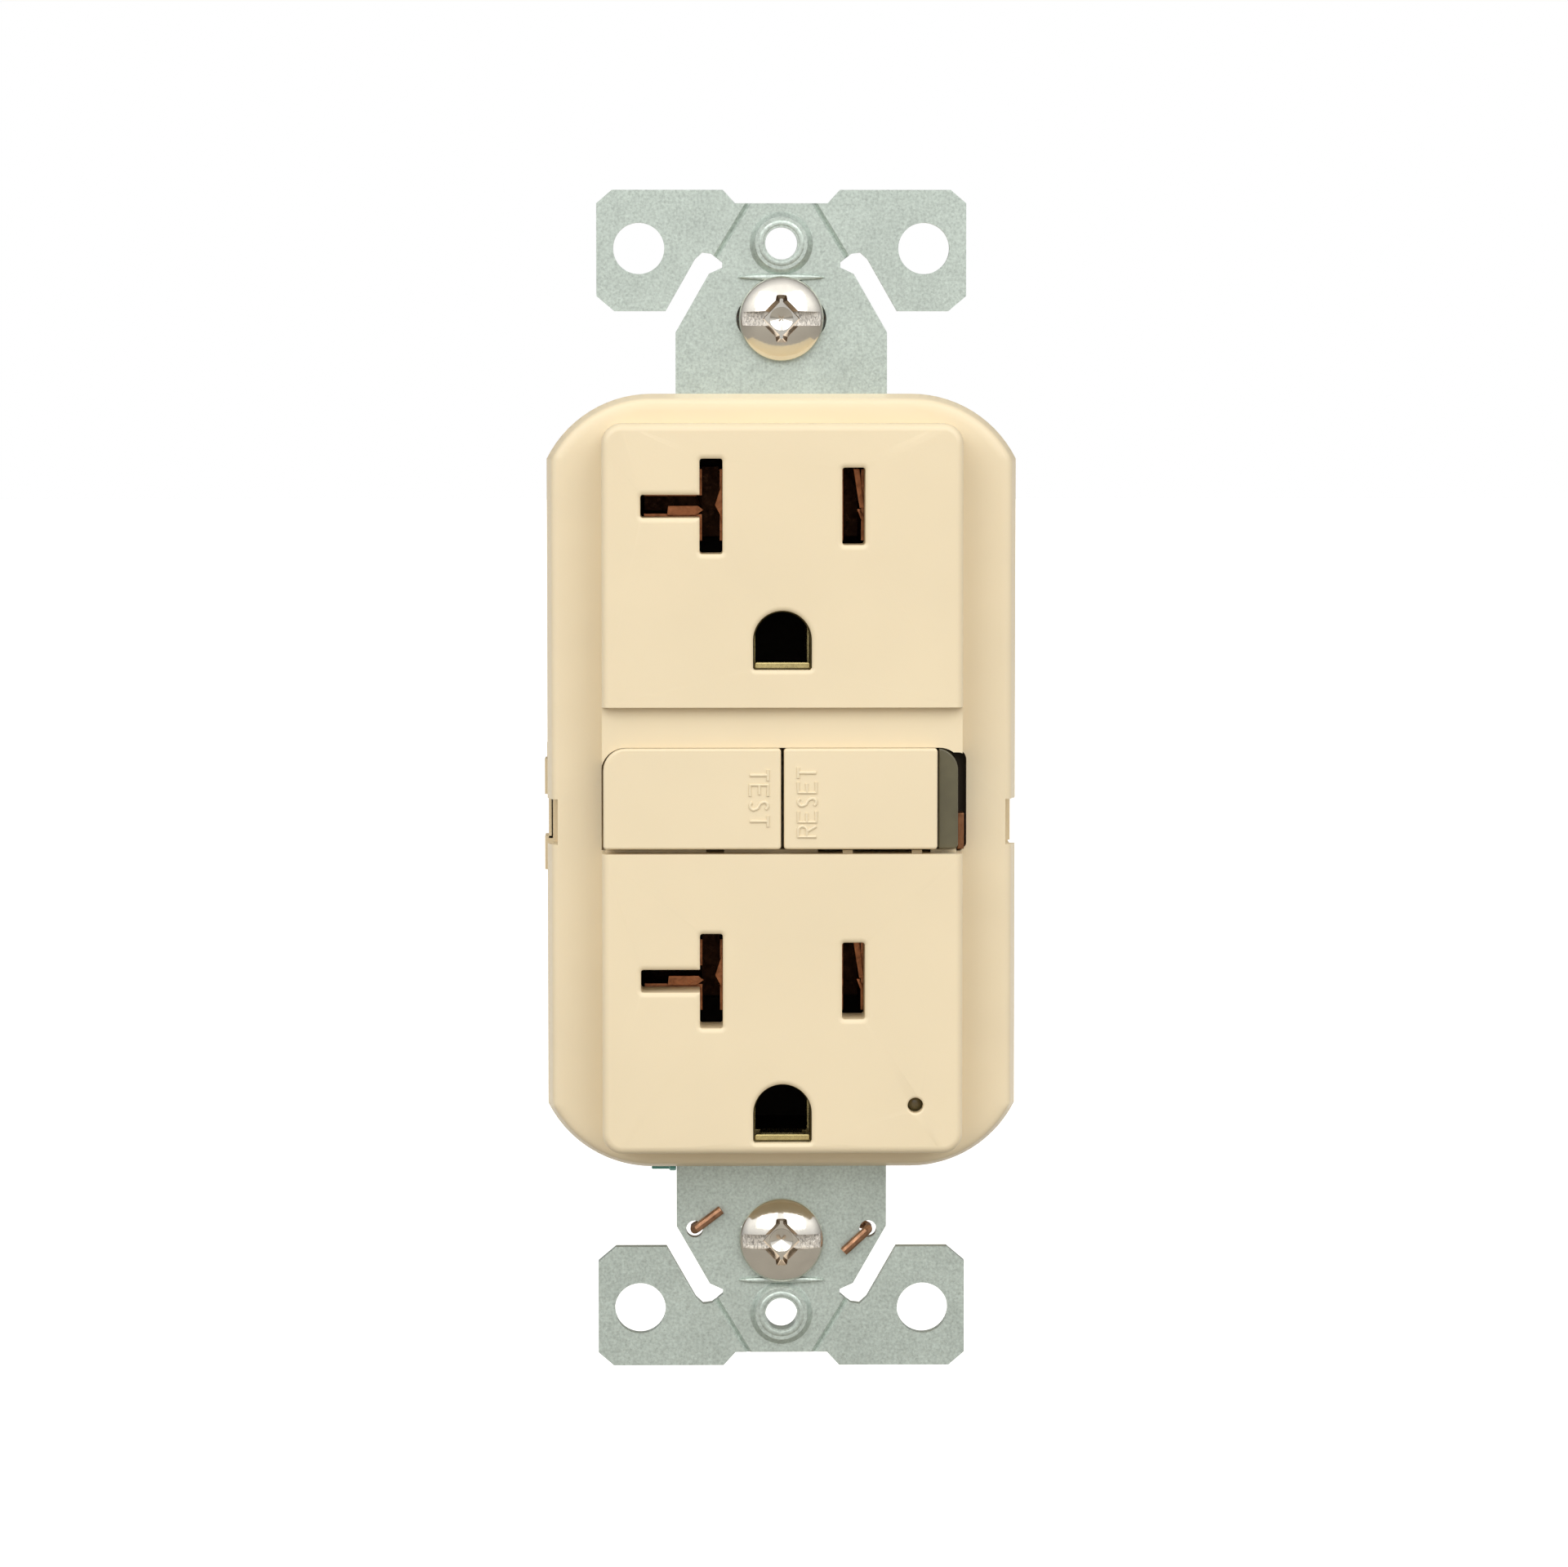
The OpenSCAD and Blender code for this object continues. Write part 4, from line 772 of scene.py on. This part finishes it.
def combination_head(at, back, height=2.1, r=3.8, dome=5.4):
    """A head of radius r, domed to a sphere of radius dome, with a slot and a square-ended diamond recess with a
    conical floor. Returns it with the y of its apex."""
    apex = back - height
    edge = 0.12
    rim = apex + dome - math.sqrt(dome ** 2 - (r - edge) ** 2)
    profile = [(dome * math.sin(a), apex + dome * (1 - math.cos(a)))
               for a in [math.asin((r - edge) / dome) * i / 20 for i in range(21)]]
    profile += [(r - 0.03, rim + 0.1), (r, rim + 0.22), (r, back - edge), (r - edge, back)]
    head = turned("head", profile, at, 96)
    slot_half = 0.64
    slot = loft("cutter", [(apex + y, moved(rounded(-6, 6, -slot_half - d, slot_half + d, 0.02, 1), *at))
                           for y, d in ((-1, 0.1), (0.2, 0.06), (0.6, 0), (SLOT_DEPTH, -0.03))])
    # The diamond's side corners, and the feet and ends of the square notches above and below
    side, notch, foot, end = 2.0, 0.45, 1.6, 2.1
    diamond = [(-side, 0), (-notch, -foot), (-notch, -end), (notch, -end), (notch, -foot),
               (side, 0), (notch, foot), (notch, end), (-notch, end), (-notch, foot)]
    recess = loft("cutter", [(apex + y, moved(soften(grow(diamond, d), 0.1 + max(d, 0), 0.08, 3), *at))
                             for y, d in ((-1, 0.2), (0.15, 0.14), (0.5, 0), (RECESS_DEPTH, -0.3))])
    well = turned("cutter", [(1.08, apex - 1), (1.05, apex + 2.02)], at, 96)
    combine(head, [slot, recess, well])
    # The conical floor, put into the well
    cone = [(1.04 - 0.206 * i, apex + RECESS_DEPTH - 0.02 + 0.093 * i) for i in range(6)]
    join(head, [ring("cone", cone + [(0.01, apex + 2.05), (1.04, apex + 2.05)], at)])
    return head, apex


for name, sign in (("box_screw_upper", 1), ("box_screw_lower", -1)):
    at = (0, sign * BOX_SCREW_Z)
    head, apex = combination_head(at, STRAP_Y - 0.05)
    for material in (MATERIALS["nickel_screw"], SLOT_FLOOR, RECESS_PAINTED_SHADE):
        head.data.materials.append(material)
    # The slot's floor is rough, and the recess's walls get painted shade: a darker, browner copy of the nickel
    for polygon in head.data.polygons:
        x, y, z = polygon.center / MM
        if abs(polygon.normal.y) > 0.9 and abs(y - apex - SLOT_DEPTH) < 0.05:
            polygon.material_index = 1
        elif abs(polygon.normal.y) < 0.5 and math.hypot(x, z - at[1]) < 2.3 and y < apex + RECESS_DEPTH:
            polygon.material_index = 2
    neck = turned("neck", [(1.7, STRAP_Y - 0.06), (1.7, 1.2)], at, 32)
    join(head, [neck, thread("shank", 1.75, 1.42, THREAD_PITCH, 1.2, 24, at)])
    stand_for(head, name)

# ---- Housing, terminals and the rest of the metal ----

# The housing inside an envelope that rounds its back edge, and its latches in the notches of the flange
wide = grow(body_outline(0.5), 1.6)
envelope = loft("envelope", [(-5, wide), (24.0, wide)] + [(y, body_outline(inset)) for y, inset in (
    (24.001, 0.48), (26.3, 0.48), (26.62, 0.57), (26.86, 0.8), (27.0, 1.15))])
housing = combine(from_node("rear_housing", 0), [envelope], "INTERSECT")
latches = [box((-21.05, -20.68), (1.3, 4.6), (-5.3, -1.1)), box((-20.7, -19.9), (4.3, 4.6), (-5.3, -1.1)),
           box((19.9, 20.85), (2.3, 4.6), (-5.6, -1.0))]
stand_for(join(housing, latches), "rear_housing")

for node in ("housing_screws", "ground_screw", "screw_line_neutral", "screw_line_hot", "screw_load_neutral",
             "screw_load_hot", "clamp_line_neutral", "clamp_line_hot", "clamp_load_neutral", "clamp_load_hot",
             "screw_retainer"):
    stand_for(from_node(node), node, bevel=0.09)

# The ground contacts: a liner in painted shade behind the hole, a near-black copy of the brass for the shade
# inside it, and a folded lip at its flat edge
for node, z in zip(("ground_contact_upper", "ground_contact_lower"), OUTLETS_Z):
    at = (0, z - GROUND_DROP)
    shade_liner = combine(loft("shade_liner", [(y, moved(ground_hole(-0.03), *at)) for y in (-7.2, -2.8)]),
                    [loft("cutter", [(y, moved(ground_hole(-0.14), *at)) for y in (-8, -2)])])
    lip = plate("lip", moved(rounded(-2.5, 2.5, -2.63, -2.02, 0.2, 4), *at), -7.0, -6.4, 0.12)
    # Painted shade: the liner gets the near-black brass.
    for polygon in shade_liner.data.polygons:
        polygon.material_index = 1
    contact = from_node(node)
    contact.data.materials.append(MATERIALS["brass"])
    contact.data.materials.append(BRASS_PAINTED_SHADE)
    stand_for(join(contact, [shade_liner, lip]), node, bevel=0.05)

# The contacts behind the slots: leaves that bend toward the blade, with a tongue across the T slot
tongue = [(-10.3, -0.95), (-7.7, -0.95), (-7.0, -0.45), (-7.5, -0.06), (-10.2, -0.06)]
spread = [(-6.0, 0.0), (-5.55, -0.9), (-5.3, -1.9), (-5.3, 2.5), (-5.5, 1.6)]
slanted = [(6.98, -0.3), (7.45, -0.3), (7.02, 3.25), (6.42, 3.25)]
tip = [(6.75, -0.42), (7.08, -1.25), (7.5, -1.75), (7.5, -1.1), (7.12, -0.6), (7.1, -0.34), (6.78, -0.34)]
for node, shapes in (("neutral_bus", (tongue, spread)), ("hot_bus", (slanted, tip))):
    leaves = [plate("leaf", moved(shape, 0, z), -2.75 - 0.1 * i, -2.3, 0.06, steps=3)
              for z in OUTLETS_Z for i, shape in enumerate(shapes)]
    bus = join(from_node(node), leaves)
    bus.data.materials.append(BUS_METAL)
    stand_for(bus, node, bevel=0.04)

# Beside the lens: a black wall, and the end of a contact strip in front of it
strip = plate("strip", rounded(15.75, 16.36, BUTTON_Z[0] - 0.25, BUTTON_Z[0] + 3.0, 0.08, 3), -4.6, -2.1, 0.1)
strip.data.materials.append(DARK_COPPER)
stand_for(strip, "hot_bus", "contact_strip")
wall = box((15.3, 16.7), (-2.2, -1.5), (BUTTON_Z[0] - 0.4, BUTTON_Z[1] + 0.1))
stand_for(join(from_node("separator", 0), [wall]), "separator")

# ---- Springs, with the joints that hold them: each gets a skin and a mesh of its own ----

# In metres: the buttons' stems. anchor is the middle of the end that stays put, and keep the share of the
# spring's length that is left at full travel.
TEST_X, RESET_X, STEM_Z = -0.0081, 0.0071, -0.00109
for node, joint, axis, anchor, keep in (
    ("test_spring", "test_press", (0, 1, 0), (TEST_X, -0.0025, STEM_Z), 2.8 / 4.3),
    ("reset_spring", "reset_press", (0, 1, 0), (RESET_X, -0.0025, STEM_Z), 2.3 / 4.3),
    ("plunger_spring", "plunger_slide", (0, 0, 1), (RESET_X, 0.0183, -0.024), 1.4 / 3.8),
):
    spring = stand_for(from_node(node, 0), node, crease=60)
    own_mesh(spring)

# This one joins two bodies, so it is attached to neither, with its place baked into its mesh
block_spring = from_node("block_spring", 0)
block_spring.name = "block_spring_skin"
block_spring.data.materials.append(MATERIALS["spring_steel"])
block_spring.data.shade_smooth()
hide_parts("block_spring")
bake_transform(block_spring)

# ---- Floor, light and camera ----

bpy.ops.mesh.primitive_plane_add(size=12, location=(0, 0, FLOOR_Z * MM))
floor = bpy.context.object
floor.name = "floor"
paper = Shader("floor_paper_painted_glow", (0.47, 0.44, 0.395), 0.9)
# Painted light: the floor glows, not at all up to 60 mm behind the object's middle and fully white from 270 mm
# behind it.
paper.link(paper.along("Y", 60, 270), paper.surface.inputs["Emission Color"])
paper.set(**{"Emission Strength": 1.0, "Specular IOR Level": 0.1})
floor.data.materials.append(paper.material)

# The studio: white behind the object as the camera sees it, and bright in front of it and above, dim elsewhere
DIM = 0.28
world = bpy.data.worlds.new("studio")
bpy.context.scene.world = world
world.use_nodes = True
sky = world.node_tree


def sky_node(kind, **inputs):
    """A node of the world, with its inputs by name, spaces written as underscores."""
    node = sky.nodes.new(kind)
    for name, value in inputs.items():
        node.inputs[name.replace("_", " ")].default_value = value
    return node


parts = sky_node("ShaderNodeSeparateXYZ")
front = sky_node("ShaderNodeMapRange", From_Min=0.0, From_Max=-0.38, To_Min=0.0, To_Max=1.0)
height = sky_node("ShaderNodeMapRange", From_Min=-0.22, From_Max=0.4, To_Min=0.1, To_Max=1.02)
# glow = front * height + DIM, and at least 1 where the camera looks straight at it
glow = sky_node("ShaderNodeMath")
glow.operation = "MULTIPLY_ADD"
glow.inputs[2].default_value = DIM
seen = sky_node("ShaderNodeMath")
seen.operation = "MAXIMUM"
sky.links.new(sky_node("ShaderNodeTexCoord").outputs["Generated"], parts.inputs["Vector"])
sky.links.new(parts.outputs["Y"], front.inputs["Value"])
sky.links.new(parts.outputs["Z"], height.inputs["Value"])
sky.links.new(front.outputs["Result"], glow.inputs[0])
sky.links.new(height.outputs["Result"], glow.inputs[1])
sky.links.new(glow.outputs["Value"], seen.inputs[0])
sky.links.new(sky_node("ShaderNodeLightPath").outputs["Is Camera Ray"], seen.inputs[1])
sky.links.new(seen.outputs["Value"], sky.nodes["Background"].inputs["Strength"])
sky.nodes["Background"].inputs["Color"].default_value = (1, 1, 1, 1)


def soft_box(name, place, watts):
    """An area light that faces the middle of the object. The place is in metres."""
    data = bpy.data.lights.new(name, "AREA")
    data.shape, data.size, data.size_y = "RECTANGLE", 0.55, 0.6
    data.energy = watts
    light = add_object(name, data)
    light.location = place
    light.rotation_euler = (-Vector(place)).to_track_quat("-Z", "Y").to_euler()


soft_box("left_box", (-0.42, -0.62, 0.5), 2.3)
soft_box("right_box", (0.38, -0.6, 0.46), 2.0)

# A long lens, a little above the object and left of it, looking slightly down
LOOK_DOWN, LOOK_RIGHT = 4.11, 0.92
camera_data = bpy.data.cameras.new("camera")
camera_data.sensor_width = 36
camera_data.lens = 137.2
camera_data.clip_start, camera_data.clip_end = 0.01, 50
camera = add_object("camera", camera_data)
camera.location = (-0.0084, -0.5395, 0.0385)
camera.rotation_euler = (math.radians(90 - LOOK_DOWN), 0, math.radians(-LOOK_RIGHT))
bpy.context.scene.camera = camera
bpy.context.scene.view_settings.view_transform = "Standard"
